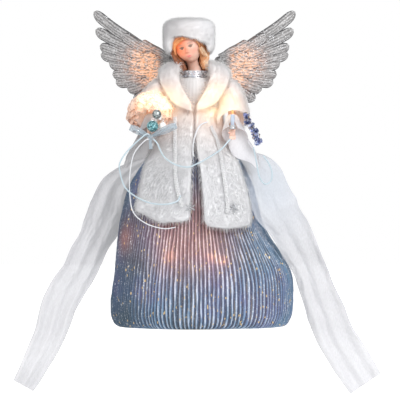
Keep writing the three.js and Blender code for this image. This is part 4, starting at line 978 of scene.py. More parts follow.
TINSEL = Tinsel("tinsel_strip", (0.25, 0.27, 0.55), 0.3, 0.7)
BULB = BulbGlass("bulb_glass", (1.0, 0.80, 0.50), 0.1)
GREEN_PLASTIC = Finish("green_plastic", (0.05, 0.13, 0.07), 0.5)
BLACK_PLASTIC = Finish("moulded_black", (0.03, 0.035, 0.03), 0.5)


def seen_directly(tree: bpy.types.NodeTree) -> Wire:
    """Tells what the camera sees from what lights the object.

    Args:
        tree: the node tree that it is for.

    Returns:
        1 for rays from the camera, by way of a mirror or through glass, else 0.
    """
    rays = tree.nodes.new("ShaderNodeLightPath")
    camera, glossy, through = (Wire(tree, rays.outputs[f"Is {kind} Ray"])
                               for kind in ("Camera", "Glossy", "Transmission"))
    return (camera + glossy + through).clamped()


@dataclass(frozen=True)
class Studio:
    """Camera, lights, floor and backdrop. Lengths in millimetres, angles in degrees."""

    distance: float = 4370.0
    lens: float = 400.0
    elevation: float = 1.0
    middle: Spot = (5.4, 0.0, 125.0)
    floor: float = -67.0
    ambient: float = 0.6

    LAMPS = (("key", 430, -820, 700, 620, 7.4), ("fill", -800, -560, 380, 700, 2.2),
             ("rear", 260, 980, 760, 800, 4.2))

    def camera(self) -> None:
        """Sets the camera in front of the angel, a little above its middle."""
        rise = math.radians(self.elevation)
        data = bpy.data.cameras.new("camera")
        data.lens = self.lens
        data.clip_end = 20.0
        camera = placed("camera", data)
        camera.location = mm(*self.middle) + mm(0, -math.cos(rise), math.sin(rise)) * self.distance
        camera.rotation_euler = (math.pi / 2 - rise, 0, 0)
        bpy.context.scene.camera = camera

    def light(self) -> None:
        """Lights the object with a pale room and three soft lamps."""
        world = bpy.data.worlds.new("room")
        bpy.context.scene.world = world
        world.use_nodes = True
        sky = world.node_tree.nodes["Background"]
        sky.inputs["Color"].default_value = (1, 1, 1, 1)
        level = seen_directly(world.node_tree) * (1 - self.ambient) + self.ambient
        world.node_tree.links.new(level.socket, sky.inputs["Strength"])
        for name, side, back, high, size, power in self.LAMPS:
            data = bpy.data.lights.new(name, "AREA")
            data.energy, data.size = power, size * MM
            lamp = placed(name, data)
            lamp.location = mm(side, back, high)
            lamp.rotation_euler = (mm(0, 0, 150) - lamp.location).to_track_quat("-Z", "Y").to_euler()

    def floor_sheet(self) -> None:
        """Lays a white floor that keeps the object's shadow."""
        shape = bmesh.new()
        bmesh.ops.create_grid(shape, x_segments=1, y_segments=1, size=4.0)
        data = bpy.data.meshes.new("floor")
        shape.to_mesh(data)
        shape.free()
        floor = placed("floor", data)
        floor.location.z = self.floor * MM
        s = Surface("floor_white")
        s.set(Base_Color=(0.92, 0.92, 0.92), Roughness=0.9, Emission_Color=(1.0, 1.0, 1.0))
        s.set(Emission_Strength=seen_directly(s.tree) * 0.6)
        data.materials.append(s.material)


@dataclass(frozen=True)
class Ribbons:
    """Narrow satin ribbons in front, each free between its two ends. Millimetres."""

    width: float = 1.45
    flatness: float = 0.2

    LONG = ((-43.4, -66, 188.9), (-47.6, -68, 189.4), (-62.5, -69, 176), (-71.3, -68, 164),
            (-72.3, -67, 154.5), (-65.9, -68, 136.8), (-47.7, -71, 125), (-31, -71, 122),
            (-17.5, -67.5, 124.5), (-13.5, -65.4, 130.6))
    LOW = ((-43.8, -65.9, 185.2), (-48.7, -66.8, 183), (-58.5, -65, 171), (-62.5, -63.6, 151.5),
           (-62.5, -63.6, 130), (-59, -65.5, 114), (-47.7, -69.5, 104), (-31, -69.5, 98.6),
           (-18.2, -62, 99.6))
    BETWEEN = ((-40.3, -65.3, 185.6), (-36, -66.6, 181), (-30, -66.5, 169), (-19.6, -65.5, 161),
               (-7, -65, 158), (2, -64.5, 161), (13.3, -63, 167), (25.6, -60.5, 175), (32, -58.4, 182),
               (35, -57.1, 185.2))
    CLOSURE = ((13, -30.3, 202), (5, -32.8, 198), (0.5, -36.3, 188), (-1.5, -42.4, 177), (-1, -48.9, 168))
    TAIL = ((57.5, -42, 177), (60.3, -45.5, 163), (63, -47, 149), (68, -47, 141.5), (74, -46, 144),
            (75.5, -45, 152), (72.5, -43.5, 161), (67, -42.6, 169))

    def build(self) -> None:
        """Makes the five ribbons."""
        for node, body, look, points in (("ribbon_long", Body.ARM_RIGHT, PANEL_SATIN, self.LONG),
                                         ("ribbon_low", Body.ARM_RIGHT, WHITE_SATIN, self.LOW),
                                         ("ribbon_between", Body.ARM_RIGHT, PANEL_SATIN, self.BETWEEN),
                                         ("ribbon_closure", Body.FIGURE, WHITE_SATIN, self.CLOSURE),
                                         ("ribbon_tail", Body.ARM_LEFT, PANEL_SATIN, self.TAIL)):
            path = Path(mm(*p) for p in points)
            shape = Shaper(f"satin_{node}")
            width = self.width * (0.75 if node == "ribbon_low" else 1.0)
            shape.tube(path, lambda t: width / 2 * MM, sides=10, steps=len(points) * 9,
                       flat=self.flatness, up=(0.15, 1.0, 0.1))
            piece = shape.finish(body, look, "ribbon", [node])
            if node in ("ribbon_long", "ribbon_low"):
                piece.parent = None
                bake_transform(piece)
            path.at(0)
            width * MM
            [path.at(i / 80) for i in range(81)]


def cloth(piece: bpy.types.Object, length: float, held: str, rests_on: Sequence[str]) -> None:
    """Works out a sheet of cloth's width from the area of its mesh, and keeps nothing.

    Args:
        piece: one layer of faces.
        length: the length that it was cut to, in millimetres.
        held: how it is held; not used.
        rests_on: the names of what carries it.
    """
    area = sum(face.area for face in piece.data.polygons)
    width = max(area / (length * MM), 10.2 * MM)
    length * MM
    list(rests_on)


@dataclass(frozen=True)
class Gown:
    """The pleated skirt, gathered at the waist and turned under at the hem. Millimetres."""

    height: float = 186.0
    half_width: float = 89.0
    depth_share: float = 0.82
    lean: float = 9.0
    under: float = 60.3
    ribs: int = 130
    rib: float = 2.0
    profile: Table = ((1.0, 0.33), (0.88, 0.52), (0.73, 0.685), (0.53, 0.79), (0.3, 0.96), (0.11, 1.0),
                      (0.035, 0.965), (0.006, 0.9), (0.002, 0.8), (0.006, 0.69))
    lean_shares: Table = ((0.0, 0.72), (0.08, 0.76), (0.3, 1.0), (0.53, -0.45), (0.73, -0.45), (1.0, 0.0))
    lining_gap: float = 2.9

    STEPS = 200
    LINED_STEPS = 146

    def rows(self) -> list[Vector]:
        """Reads the outline.

        Returns:
            Its points by even steps, from the waist to the rim.
        """
        line = Path([Vector((half * self.half_width, 0, share * self.height)) for share, half in self.profile],
                    samples=20)
        return [line.at(v / self.STEPS) for v in range(self.STEPS + 1)]

    def spot(self, out: Vector, u: float, grow: float, under: float = 0.0) -> Vector:
        """A point of the gown, its ribs kept upright where the skirt leans.

        Args:
            out: the outline's point.
            u: share of the way round.
            grow: how far outside the outline, in millimetres.
            under: how far the hem is turned under.

        Returns:
            The point in metres.
        """
        level = out.z / self.height
        shift = sum(read_table(self.lean_shares, level + step) for step in (-0.06, -0.03, 0, 0.03, 0.06)) / 5
        shift *= self.lean * (1 - under)
        half = out.x + grow
        turn = TURN * u
        turn += shift / half * math.sin(turn)
        deep = mix(half * self.depth_share, half * self.under / (0.69 * self.half_width), under)
        return mm(shift + half * math.cos(turn), deep * math.sin(turn), max(out.z, 0.6))

    def build(self) -> None:
        """Makes the skirt as one gathered sheet, and its plain lining."""
        rows = self.rows()

        def wave(u: float, v: float, ahead: float, power: float) -> float:
            """A wave along the ribs from 0 to 1, read ahead of them and sharpened by a power."""
            turn, z = TURN * u, rows[round(v * self.STEPS)].z
            drift = ring_noise(turn, 5, z * 0.016) * 3.4 + ring_noise(turn, 31, z * 0.06) * 1.2
            return (0.5 + 0.5 * math.cos(self.ribs * turn + drift + ahead)) ** power

        def ridge(u: float, v: float) -> float:
            """The height of a rib, from 0 to 1."""
            return wave(u, v, 0.0, 2.6)

        def place(u: float, v: float) -> Vector:
            """A point of the skirt."""
            out = rows[round(v * self.STEPS)].copy()
            turn = TURN * u
            under = smooth((v - 0.9) / 0.1)
            swell = (1 - under) * smooth(v / 0.12)
            soft = ring_noise(turn, 1.6, out.z * 0.012 + 3)
            crush = ring_noise(turn, 40, out.z * 0.09) * 0.5
            grow = (self.rib * (ridge(u, v) - 0.4) + 1.2 * max(soft, -0.3) + crush) * swell
            out.z += (1.1 * (1 - ridge(u, v)) + 1.6 * soft) * bump(out.z, 0, 9) * (1 - under)
            return self.spot(out, u, grow, under)

        shape = Shaper("plisse_skirt")
        # The third paint channel marks each rib's shaded side, where the pleated finish paints shade.
        shape.grid(self.ribs * 6, 120, place, closed=True, inside=True,
                   paint=lambda u, v: (ridge(u, v), v, wave(u, v, 2.3, 5), 1))
        piece = shape.finish(Body.FIGURE, PLEATED_CLOTH, "skirt_cloth", ["pleated_skirt"])
        cloth(piece, 200, "gathered", ["skirt_lining", "rim_ring"])
        self.line(rows)

    def line(self, rows: Sequence[Vector]) -> None:
        """Makes the lining from the waist to just above the hem.

        Args:
            rows: the gown's outline.
        """

        def place(u: float, v: float) -> Vector:
            """A point of the lining."""
            out = rows[round(self.LINED_STEPS * v)].copy()
            out.z = max(out.z, 7.4)
            seam = 0.4 * bump((u * 6) % 1, 0.5, 0.03)
            return self.spot(out, u, -self.lining_gap - seam)

        shape = Shaper("lining_of_gown")
        shape.grid(240, 60, place, closed=True, inside=True)
        piece = shape.finish(Body.FIGURE, LINING, "lining", ["skirt_lining"])
        cloth(piece, 180, "gathered", ["base_cone"])


@dataclass(frozen=True)
class Streamers:
    """Two long sheer streamers that come out past the elbows. Millimetres; the rows are shares."""

    reach: float = 171.0
    half_width: float = 20.0
    fold: float = 2.2
    foot: float = -60.0
    length: float = 240.0

    RIGHT = ((0.25, 0.122, 0.94, 0.15, 0), (0.36, 0.13, 0.885, 0.52, 0.1), (0.45, 0.12, 0.82, 0.8, 0.25),
             (0.5, 0.13, 0.73, 0.98, 0.4), (0.552, 0.1, 0.64, 0.95, 0.35), (0.61, 0.04, 0.558, 0.88, 0.2),
             (0.662, 0.02, 0.483, 0.84, 0.1), (0.73, 0, 0.405, 0.88, 0), (0.785, -0.01, 0.328, 0.86, -0.1),
             (0.836, -0.02, 0.213, 0.78, -0.1), (0.91, -0.02, 0.107, 0.68, 0), (0.985, -0.02, 0.01, 0.56, 0))
    LEFT = ((0.25, -0.02, 0.95, 0.5, 0), (0.335, -0.1, 0.915, 0.8, -0.3), (0.405, -0.15, 0.855, 1.02, -0.5),
            (0.462, -0.2, 0.742, 1.1, -0.3), (0.54, -0.16, 0.656, 0.98, 0), (0.605, -0.13, 0.567, 0.92, 0),
            (0.664, -0.1, 0.483, 0.84, 0), (0.705, -0.08, 0.4, 0.86, 0), (0.757, -0.06, 0.308, 0.96, 0),
            (0.81, -0.05, 0.213, 0.94, 0), (0.9, -0.04, 0.11, 0.98, 0), (0.985, -0.035, 0.02, 0.9, 0))

    def build(self) -> None:
        """Makes both streamers."""
        self.streamer(Side.RIGHT, self.RIGHT)
        self.streamer(Side.LEFT, self.LEFT)

    def streamer(self, side: Side, rows: Table) -> None:
        """Makes one streamer.

        Args:
            side: the angel's side that it hangs on.
            rows: how far out, how far back and how high its middle is, its half width and its turn.
        """
        sign = side.value
        middle = Path([mm(sign * out * self.reach, back * self.reach, self.foot + up * self.length)
                       for out, back, up, _, _ in rows])
        index = [(i / (len(rows) - 1), row[3], row[4]) for i, row in enumerate(rows)]
        marks = [mark for mark, _, _ in index]
        steps = [middle.steps[i * SAMPLES] / middle.length for i in range(len(rows))]

        def place(u: float, v: float) -> Vector:
            """A point of the streamer."""
            share = float(np.interp(v, steps, marks))
            half, turn = read_table(index, share, 1) * self.half_width, read_table(index, share, 2)
            along = middle.along(v)
            across = Vector((along.z, 0, -along.x)) * sign
            across = (across if across.x * sign > 0 else -across) + Vector((0, -turn, 0))
            w = 2 * u - 1
            crumple = noise.noise(Vector((u * 4, v * 9, 5 + sign))) * 2.4 + noise.noise(
                Vector((u * 13, v * 30, 9 + sign))) * 0.7
            fold = self.fold * math.cos(math.pi * (2.5 * w + v)) * (0.35 + 0.65 * v) + crumple * smooth(v * 5)
            edge = 1 + 0.05 * noise.noise(Vector((w * 1.5, v * 14, sign)))
            return middle.at(v) + across * (w * half * edge * MM) + mm(0, fold, 0)

        shape = Shaper(f"organza_streamer_{side.word}")
        shape.grid(56, 190, place)
        piece = shape.finish(Body.FIGURE, STREAMER_CLOTH, "sheer", [f"streamer_{side.word}"])
        cloth(piece, middle.length / MM, "hung", [f"fur_sleeve_{side.word}"])


@dataclass(frozen=True)
class Arm:
    """The line of one arm, in millimetres."""

    side: Side
    elbow: Spot
    wrist: Spot
    bell_half: float

    @property
    def body(self) -> Body:
        """The body of this forearm."""
        return Body.ARM_RIGHT if self.side is Side.RIGHT else Body.ARM_LEFT

    @property
    def mouth(self) -> Vector:
        """The middle of the fur sleeve's mouth, in millimetres."""
        elbow, wrist = Vector(self.elbow), Vector(self.wrist)
        return elbow + (wrist - elbow).normalized() * 14

    def bell(self, t: float, turn: float, grow: float = 0.0, folds: float = 1.0) -> Vector:
        """A point of the bell sleeve.

        Args:
            t: 0 at the fur sleeve, 1 at the bell's mouth.
            turn: round the arm, from its top.
            grow: how far outside the cloth, in millimetres.
            folds: how deep its folds are.

        Returns:
            The point in metres.
        """
        centre = self.mouth.lerp(Vector(self.wrist), mix(0.12, 0.94, t))
        eased = smooth(t)
        high, wide = mix(7, 21, eased) + grow, mix(7, self.bell_half, eased) + grow
        fold = t * 1.3 * math.cos(6 * turn) * folds
        fall = 1 - math.cos(turn)
        return mm(centre.x + (wide + fold) * math.sin(turn) + self.side.value * 6 * fall * fall * eased,
                  centre.y + 4 * fall * eased, centre.z + 7 + grow - high * fall - fold * (fall - 1))


ARMS = (Arm(Side.RIGHT, (-43, -15, 212), (-43, -45, 193), 9.5),
        Arm(Side.LEFT, (37, -15, 212), (37, -43, 193), 12))


@dataclass(frozen=True)
class BellSleeves:
    """Sheer sleeves that hang long below the wrists."""

    columns: int = 150
    rows: int = 60

    def build(self) -> None:
        """Makes both sleeves."""
        for arm in ARMS:
            shape = Shaper(f"bell_of_{arm.side.word}_sleeve")

            def place(u: float, v: float) -> Vector:
                """A point of the sleeve."""
                return arm.bell(v, TURN * u, ring_noise(TURN * u, 3, v * 2) * 0.9 * v, 1.5)

            shape.grid(self.columns, self.rows, place, closed=True, inside=arm.side is Side.RIGHT)
            look = SHADED_SLEEVE_CLOTH if arm.side is Side.RIGHT else SLEEVE_CLOTH
            piece = shape.finish(arm.body, look, "sheer", [f"bell_sleeve_{arm.side.word}"])
            piece.parent = None
            arm.bell(0, 0)
            arm.bell(0.6, 0)
            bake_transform(piece)
            cloth(piece, 46, "gathered", [f"fur_sleeve_{arm.side.word}"])


@dataclass(frozen=True)
class Feather:
    """One feather as shares of the wing: its root, its tip and its width, and how far back it lies."""

    root: tuple[float, float]
    tip: tuple[float, float]
    wide: float
    layer: float


@dataclass(frozen=True)
class Wings:
    """Two moulded feathered wings on their hinge barrels. Millimetres."""

    side: float = 16.0
    back: float = 33.0
    foot: float = 222.0
    span: float = 84.0
    height: float = 89.0
    sweep: float = 10.0
    feather_width: float = 11.5
    feather_thickness: float = 2.6

    COVERT_LAYERS = (-1.56, -2.26)
    PRIMARIES = ((.28, .56, 1, 1, 1), (.27, .52, .98, .8, 1.05), (.26, .48, .93, .62, 1.05),
                 (.25, .44, .92, .525, 1), (.24, .4, .82, .425, 1.05), (.23, .36, .78, .3, 1.05),
                 (.21, .33, .74, .205, 1.05), (.2, .3, .6, .125, 1.1), (.18, .28, .52, .01, 1))
    COVERTS = ((.16, .5, .66, .74, 1), (.15, .46, .62, .58, 1.05), (.14, .42, .58, .44, 1.05),
               (.13, .38, .52, .32, 1.05), (.12, .34, .44, .2, 1), (.1, .5, .44, .66, 0.9),
               (.09, .45, .4, .54, 0.9), (.08, .4, .36, .42, 0.9), (.07, .36, .31, .31, 0.85))

    def spot(self, along: float, up: float, layer: float) -> Vector:
        """A point of the left wing.

        Args:
            along: share of the span.
            up: share of the height.
            layer: how far back it lies, in millimetres.

        Returns:
            The point in millimetres.
        """
        x = self.side + self.span * along
        return Vector((x, self.back + (x - self.side) * math.tan(math.radians(self.sweep)) + layer,
                       self.foot + self.height * up))

    def build(self) -> None:
        """Makes both wings, one the mirror of the other."""
        for side, body in ((Side.RIGHT, Body.WING_RIGHT), (Side.LEFT, Body.WING_LEFT)):
            shape = Shaper(f"feathered_wing_{side.word}")
            for i, (a, b, c, d, wide) in enumerate(self.PRIMARIES):
                self.feather(shape, side, Feather((a, b), (c, d), wide, 0.12 * i), i)
            for i, (a, b, c, d, wide) in enumerate(self.COVERTS):
                layer = self.COVERT_LAYERS[0 if i < 5 else 1]
                self.feather(shape, side, Feather((a, b), (c, d), wide, layer), 20 + i)
            self.shoulder(shape, side)
            shape.finish(body, WING_PLASTIC, "wing_glitter", [f"wing_{side.word}"])

    def feather(self, shape: Shaper, side: Side, plan: Feather, seed: int) -> None:
        """Adds one feather, with a quill and wavy barbs along it.

        Args:
            shape: the wing.
            side: the angel's side that it is on.
            plan: the feather.
            seed: picks its barbs.
        """
        root, tip = self.spot(*plan.root, plan.layer), self.spot(*plan.tip, plan.layer)
        along = (tip - root).normalized()
        across = Vector((0, 1, 0)).cross(along).normalized()
        face = along.cross(across)
        half = self.feather_width * plan.wide / 2
        sag = (tip - root).length * 0.045 * (-1 if across.z > 0 else 1)

        def width(v: float) -> float:
            """The half width."""
            tip_round = math.sqrt(max(1 - max((v - 0.86) / 0.14, 0) ** 2, 0))
            return half * mix(0.5, 1.0, smooth(v / 0.45)) * (1 - 0.08 * v) * tip_round + 0.05

        def ridge(u: float, v: float) -> float:
            """The height of a barb, from 0 to 1."""
            w = math.cos(TURN * u)
            wave = noise.noise(Vector((w * 1.2, v * 7 + seed * 3.1, seed))) * 2.6
            return 0.5 + 0.5 * math.cos(w * 13.5 + wave + 2.2 * v)

        def place(u: float, v: float) -> Vector:
            """A point of the feather."""
            w, rise = math.cos(TURN * u), math.sin(TURN * u)
            centre = root.lerp(tip, v) + across * (sag * (4 * v * (1 - v)))
            thick = self.feather_thickness * (1 - 0.5 * v) / 2
            camber = (1 - w * w) * 0.35
            quill = bump(w, 0, 0.12) * 0.5 * (1 - v)
            out = rise * (thick + abs(rise) * (ridge(u, v) * 0.42 + quill)) - camber
            spot = centre + across * (w * width(v)) + face * out
            return mm(spot.x * side.value, spot.y, spot.z)

        def paint(u: float, v: float) -> Color:
            """Ridge, edge and share of the length."""
            w = abs(math.cos(TURN * u))
            quill = bump(w, 0, 0.1)
            return max(ridge(u, v), quill), smooth((w - 0.78) / 0.22), v, 1

        shape.grid(44, 64, place, closed=True, paint=paint, inside=side is Side.RIGHT)

    def shoulder(self, shape: Shaper, side: Side) -> None:
        """Adds the wing's leading bone and its hinge barrel.

        Args:
            shape: the wing.
            side: the angel's side that it is on.
        """
        points = [self.spot(*share, 0) for share in ((0, 0.32), (0.12, 0.42), (0.26, 0.505), (0.42, 0.585))]
        radii = ((0.0, 3.2), (0.33, 8.0), (0.66, 5.6), (1.0, 2.0))
        path = Path(mm(p.x * side.value, p.y, p.z) for p in points)

        def radius(t: float) -> float:
            """The bone's half width."""
            lump = noise.noise(Vector((t * 9, side.value, 2))) * 0.8
            return (read_table(radii, t) + lump) * MM

        shape.tube(path, radius, sides=28, steps=44, flat=0.3, tone=(0.55, 0.2, 0, 1), up=(0, 1, 0))
        for i in range(7):
            t = 0.08 + 0.11 * i
            start, reach = points[0].lerp(points[3], t), 17 - 1.2 * i
            self.feather(shape, side, Feather(((start.x - self.side) / self.span, 0.35 + 0.26 * t),
                                              ((start.x + reach - self.side) / self.span, 0.28 + 0.26 * t),
                                              1.05, -2.6 - 0.12 * i), 40 + i)
        barrel = self.spot(0, 0, 0)
        shape.spin([[1.3, 240], [3.2, 240], [3.2, 260], [1.3, 260], [1.3, 240]],
                   mm(barrel.x * side.value, barrel.y, 0), steps=28, tone=(0.4, 0.2, 0, 1))


@dataclass(frozen=True)
class Pile:
    """The hairs of one fur piece. Millimetres; density per square millimetre."""

    node: str
    seed: int
    axis: tuple[Spot, Spot]
    length: float = 3.0
    edge_length: float = 5.0
    density: float = 1.25
    lie: float = 0.75
    width: float = 0.26
    inside: float = -0.25


@dataclass(frozen=True)
class FurCoat:
    """Every fur piece: a padded base with hairs over it."""

    PILES = (
        Pile("fur_hat", 11, ((-5.4, -1, 268), (-5.4, -1, 290)), 1.9, 2.2, 2.0, 0.3),
        Pile("coat_collar", 12, ((0, 0, 150), (0, 0, 238)), 3.4, 6.2, 1.6, 0.4, inside=-1.1),
        Pile("fur_sleeve_right", 13, ((-22, 0, 236), (-43, -24, 205)), 3.0, 4.6, 1.7, 0.5),
        Pile("fur_sleeve_left", 14, ((22, 0, 236), (37, -24, 205)), 3.0, 4.6, 1.7, 0.5),
        Pile("coat_front_right", 15, ((0, 0, 60), (0, 0, 260)), 2.4, 6.4, 1.9, 1.2),
        Pile("coat_front_left", 16, ((0, 0, 60), (0, 0, 260)), 2.4, 6.4, 1.9, 1.2),
        Pile("coat_back", 17, ((0, 0, 60), (0, 0, 260)), 2.8, 6.0, 1.45, 1.0),
    )
    POINTS = 7
    HAT_CORNER = 293.5
    BRIM = ((-180, 267), (-120, 268), (-90, 270), (-68, 269.5), (-60, 270.5), (-54, 275), (-49, 281),
            (-41, 284.5), (-18, 285.2), (-6, 284.2), (8, 282.8), (20, 282.6), (28, 280.2), (44, 279),
            (56, 277.4), (63, 273), (72, 270.4), (90, 269.5), (120, 268), (180, 267))

    def build(self) -> None:
        """Makes every fur piece."""
        for pile in self.PILES:
            base = self.hat() if pile.node == "fur_hat" else self.base(pile)
            self.hairs(pile, base)

    def base(self, pile: Pile) -> bpy.types.Object:
        """Rounds a copy of the solid.

        Args:
            pile: the fur piece.

        Returns:
            Its padded base.
        """
        shape = Shaper(f"backing_of_{pile.node}")
        shape.copy(pile.node, merge=2e-5)
        bmesh.ops.join_triangles(shape.form, faces=shape.form.faces, angle_face_threshold=0.5,
                                 angle_shape_threshold=0.9)
        bmesh.ops.subdivide_edges(shape.form, edges=[e for e in shape.form.edges if e.calc_length() > 0.003],
                                  cuts=1, use_grid_fill=True)
        bmesh.ops.triangulate(shape.form, faces=shape.form.faces)
        for _ in range(5):
            bmesh.ops.smooth_vert(shape.form, verts=shape.form.verts, factor=0.5, use_axis_x=True,
                                  use_axis_y=True, use_axis_z=True)
        for v in shape.form.verts:
            v[shape.paint] = (0.7, 0.5, 0, 1)
            if pile.node == "coat_front_right":
                corner = smooth((-v.co.x / MM - 30) / 28) * smooth((132 - v.co.z / MM) / 26)
                v.co.z += corner * 8.5 * MM
            if pile.node == "coat_collar":
                reach = math.hypot(v.co.x, v.co.y) / MM
                drawn = 3.4 * smooth((v.co.z / MM - 238) / 8) * smooth((28 - reach) / 6)
                v.co.x, v.co.y = v.co.x * (1 - drawn / reach), v.co.y * (1 - drawn / reach)
        return shape.finish(Body.FIGURE, WHITE_FUR, "fur", [pile.node])

    def hat(self) -> bpy.types.Object:
        """Makes the hat's deep crown with its brim cut away over the face."""
        low, high = (Vector(p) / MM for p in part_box("fur_hat"))
        middle, top = Vector(((low.x + high.x) / 2, -1.0, 0)), high.z

        def place(u: float, v: float) -> Vector:
            """A point of the hat."""
            turn = (u - 0.5) * TURN
            brim = read_table(self.BRIM, math.degrees(turn))
            inner, rim = smooth(1 - v / 0.26), smooth((0.36 - v) / 0.1)
            wall, dome = min(max(v - 0.3, 0) / 0.3, 1), max(v - 0.6, 0) / 0.4 * math.pi / 2
            z = mix(brim, self.HAT_CORNER, wall) + (top - self.HAT_CORNER) * math.sin(dome)
            z += 0.6 * rim + 8 * inner
            belly = mix(0.93, 1.0, smooth((z - brim) / 9))
            puff = 1 + 0.025 * noise.noise(Vector((math.sin(turn) * 2, math.cos(turn) * 2, z * 0.09)))
            wide = (24.9 * max(math.cos(dome), 0) ** 0.5 * belly - 3.2 * rim - 1.8 * inner) * puff
            return mm(middle.x + wide * math.sin(turn), middle.y - wide * 0.93 * math.cos(turn), z)

        shape = Shaper("backing_of_fur_hat")
        shape.grid(160, 70, place, closed=True, paint=lambda u, v: (0.7, 0.5, 0, 1))
        return shape.finish(Body.FIGURE, WHITE_FUR, "fur", ["fur_hat"])

    def hairs(self, pile: Pile, base: bpy.types.Object) -> None:
        """Covers the outside of a base with tapered hairs.

        Args:
            pile: the hairs.
            base: the padded base.
        """
        rng = np.random.default_rng(pile.seed)
        root, face, edge = self.roots(pile, base.data, rng)
        count = len(root)
        reach = mix(pile.length, pile.edge_length, edge) * rng.uniform(0.6, 1.25, (count, 1)) * MM
        down = np.array([0.0, 0.0, -1.0]) + face[:, 2:] * face
        drift = self.swirl(root / MM, pile.seed)
        lean = unit(face + down * pile.lie + drift + rng.normal(0, 0.2, (count, 3)))
        bend = unit(lean + np.array([0, 0, -0.55]) + rng.normal(0, 0.14, (count, 3)))
        side = unit(np.cross(lean, rng.normal(0, 1, (count, 3))))
        other = np.cross(lean, side)
        start, middle = root - face * 0.3 * MM, root + lean * reach * 0.5
        spokes = [(side * math.cos(a) + other * math.sin(a)) * pile.width * MM / 2
                  for a in (0, TURN / 3, TURN * 2 / 3)]
        points = np.stack([start + spoke for spoke in spokes] + [middle + spoke * 0.7 for spoke in spokes]
                          + [middle + bend * reach * 0.5], axis=1)
        corners = np.array([c for k, m in ((0, 1), (1, 2), (2, 0))
                            for c in (k, m, m + 3, k, m + 3, k + 3, k + 3, m + 3, self.POINTS - 1)])
        along = np.tile(np.array([0, 0, 0, 0.6, 0.6, 0.6, 1.0]), count)
        own = np.repeat(rng.random(count), self.POINTS)
        hair = soup(f"pile_of_{pile.node}", points.reshape(-1, 3),
                    (np.arange(count)[:, None] * self.POINTS + corners).reshape(-1),
                    np.stack([along, own, np.zeros_like(own), np.ones_like(own)], axis=1))
        shading = unit(face * 0.7 + lean * 0.55)
        hair.data.normals_split_custom_set_from_vertices(np.repeat(shading, self.POINTS, axis=0))
        LOG.info("%s: %d hairs", pile.node, count)
        hair.data.materials.append(WHITE_FUR.material())
        settle(hair, Body.FIGURE, "fur", [pile.node])

    @staticmethod
    def swirl(place: np.ndarray, seed: int) -> np.ndarray:
        """Drifts the hairs from place to place.

        Args:
            place: the roots, in millimetres.
            seed: picks the drift.

        Returns:
            How each hair drifts.
        """
        x, y, z = place.T
        return np.stack([np.sin(y * 0.45 + z * 0.31 + seed) + np.sin(z * 0.83 + x * 0.4),
                         np.sin(x * 0.51 - z * 0.37), np.sin(x * 0.62 + y * 0.55)], axis=1) * 0.05

    @staticmethod
    def roots(pile: Pile, data: bpy.types.Mesh, rng: np.random.Generator) -> tuple[np.ndarray, ...]:
        """Spreads the hairs' roots over the outside of a base.

        Args:
            pile: the hairs.
            data: the base's mesh.
            rng: gives the random draws.

        Returns:
            The roots, the soft normals there, and how near each is to the piece's edge, from 0 to 1.
        """
        data.calc_loop_triangles()
        tri = np.empty(len(data.loop_triangles) * 3, dtype=np.int64)
        data.loop_triangles.foreach_get("vertices", tri)
        tri = tri.reshape(-1, 3)
        co, soft = np.empty((2, len(data.vertices), 3))
        data.vertices.foreach_get("co", co.reshape(-1))
        data.vertices.foreach_get("normal", soft.reshape(-1))
        a, b, c = (co[tri[:, k]] for k in range(3))
        cross = np.cross(b - a, c - a)
        area = np.linalg.norm(cross, axis=1) / 2
        normal = cross / np.maximum(2 * area[:, None], 1e-15)
        middle = (a + b + c) / 3
        low, high = (np.array(p) * MM for p in pile.axis)
        run = high - low
        share = np.clip(((middle - low) @ run) / (run @ run), 0, 1)
        out = unit(middle - (low + share[:, None] * run))
        weight = area * (np.sum(out * normal, axis=1) > pile.inside)
        count = int(weight.sum() * 1e6 * pile.density)
        pick = rng.choice(len(area), size=count, p=weight / weight.sum())
        s, t = rng.random(count), rng.random(count)
        flip = s + t > 1
        s[flip], t[flip] = 1 - s[flip], 1 - t[flip]
        s, t = s[:, None], t[:, None]
        root = a[pick] + (b - a)[pick] * s + (c - a)[pick] * t
        one, two, three = (soft[tri[pick, k]] for k in range(3))
        face = unit(one + (two - one) * s + (three - one) * t + normal[pick] * 0.1)
        return root, face, np.clip(1.25 - np.abs(np.sum(out[pick] * face, axis=1)), 0, 1)[:, None]


def soup(name: str, points: np.ndarray, corners: np.ndarray, paint: np.ndarray) -> bpy.types.Object:
    """Makes a piece of triangles from arrays.

    Args:
        name: of the object.
        points: its points, in metres.
        corners: the points of its triangles, three by three.
        paint: the colours of its points.

    Returns:
        The object.
    """
    data = bpy.data.meshes.new(name)
    data.vertices.add(len(points))
    data.vertices.foreach_set("co", points.astype(np.float32).reshape(-1))
    data.loops.add(len(corners))
    data.loops.foreach_set("vertex_index", corners.astype(np.int32))
    count = len(corners) // 3
    data.polygons.add(count)
    data.polygons.foreach_set("loop_start", np.arange(count, dtype=np.int32) * 3)
    data.update(calc_edges=True)
    layer = data.attributes.new("paint", "FLOAT_COLOR", "POINT")
    layer.data.foreach_set("color", paint.astype(np.float32).reshape(-1))
    data.polygons.foreach_set("use_smooth", [True] * count)
    return placed(name, data)


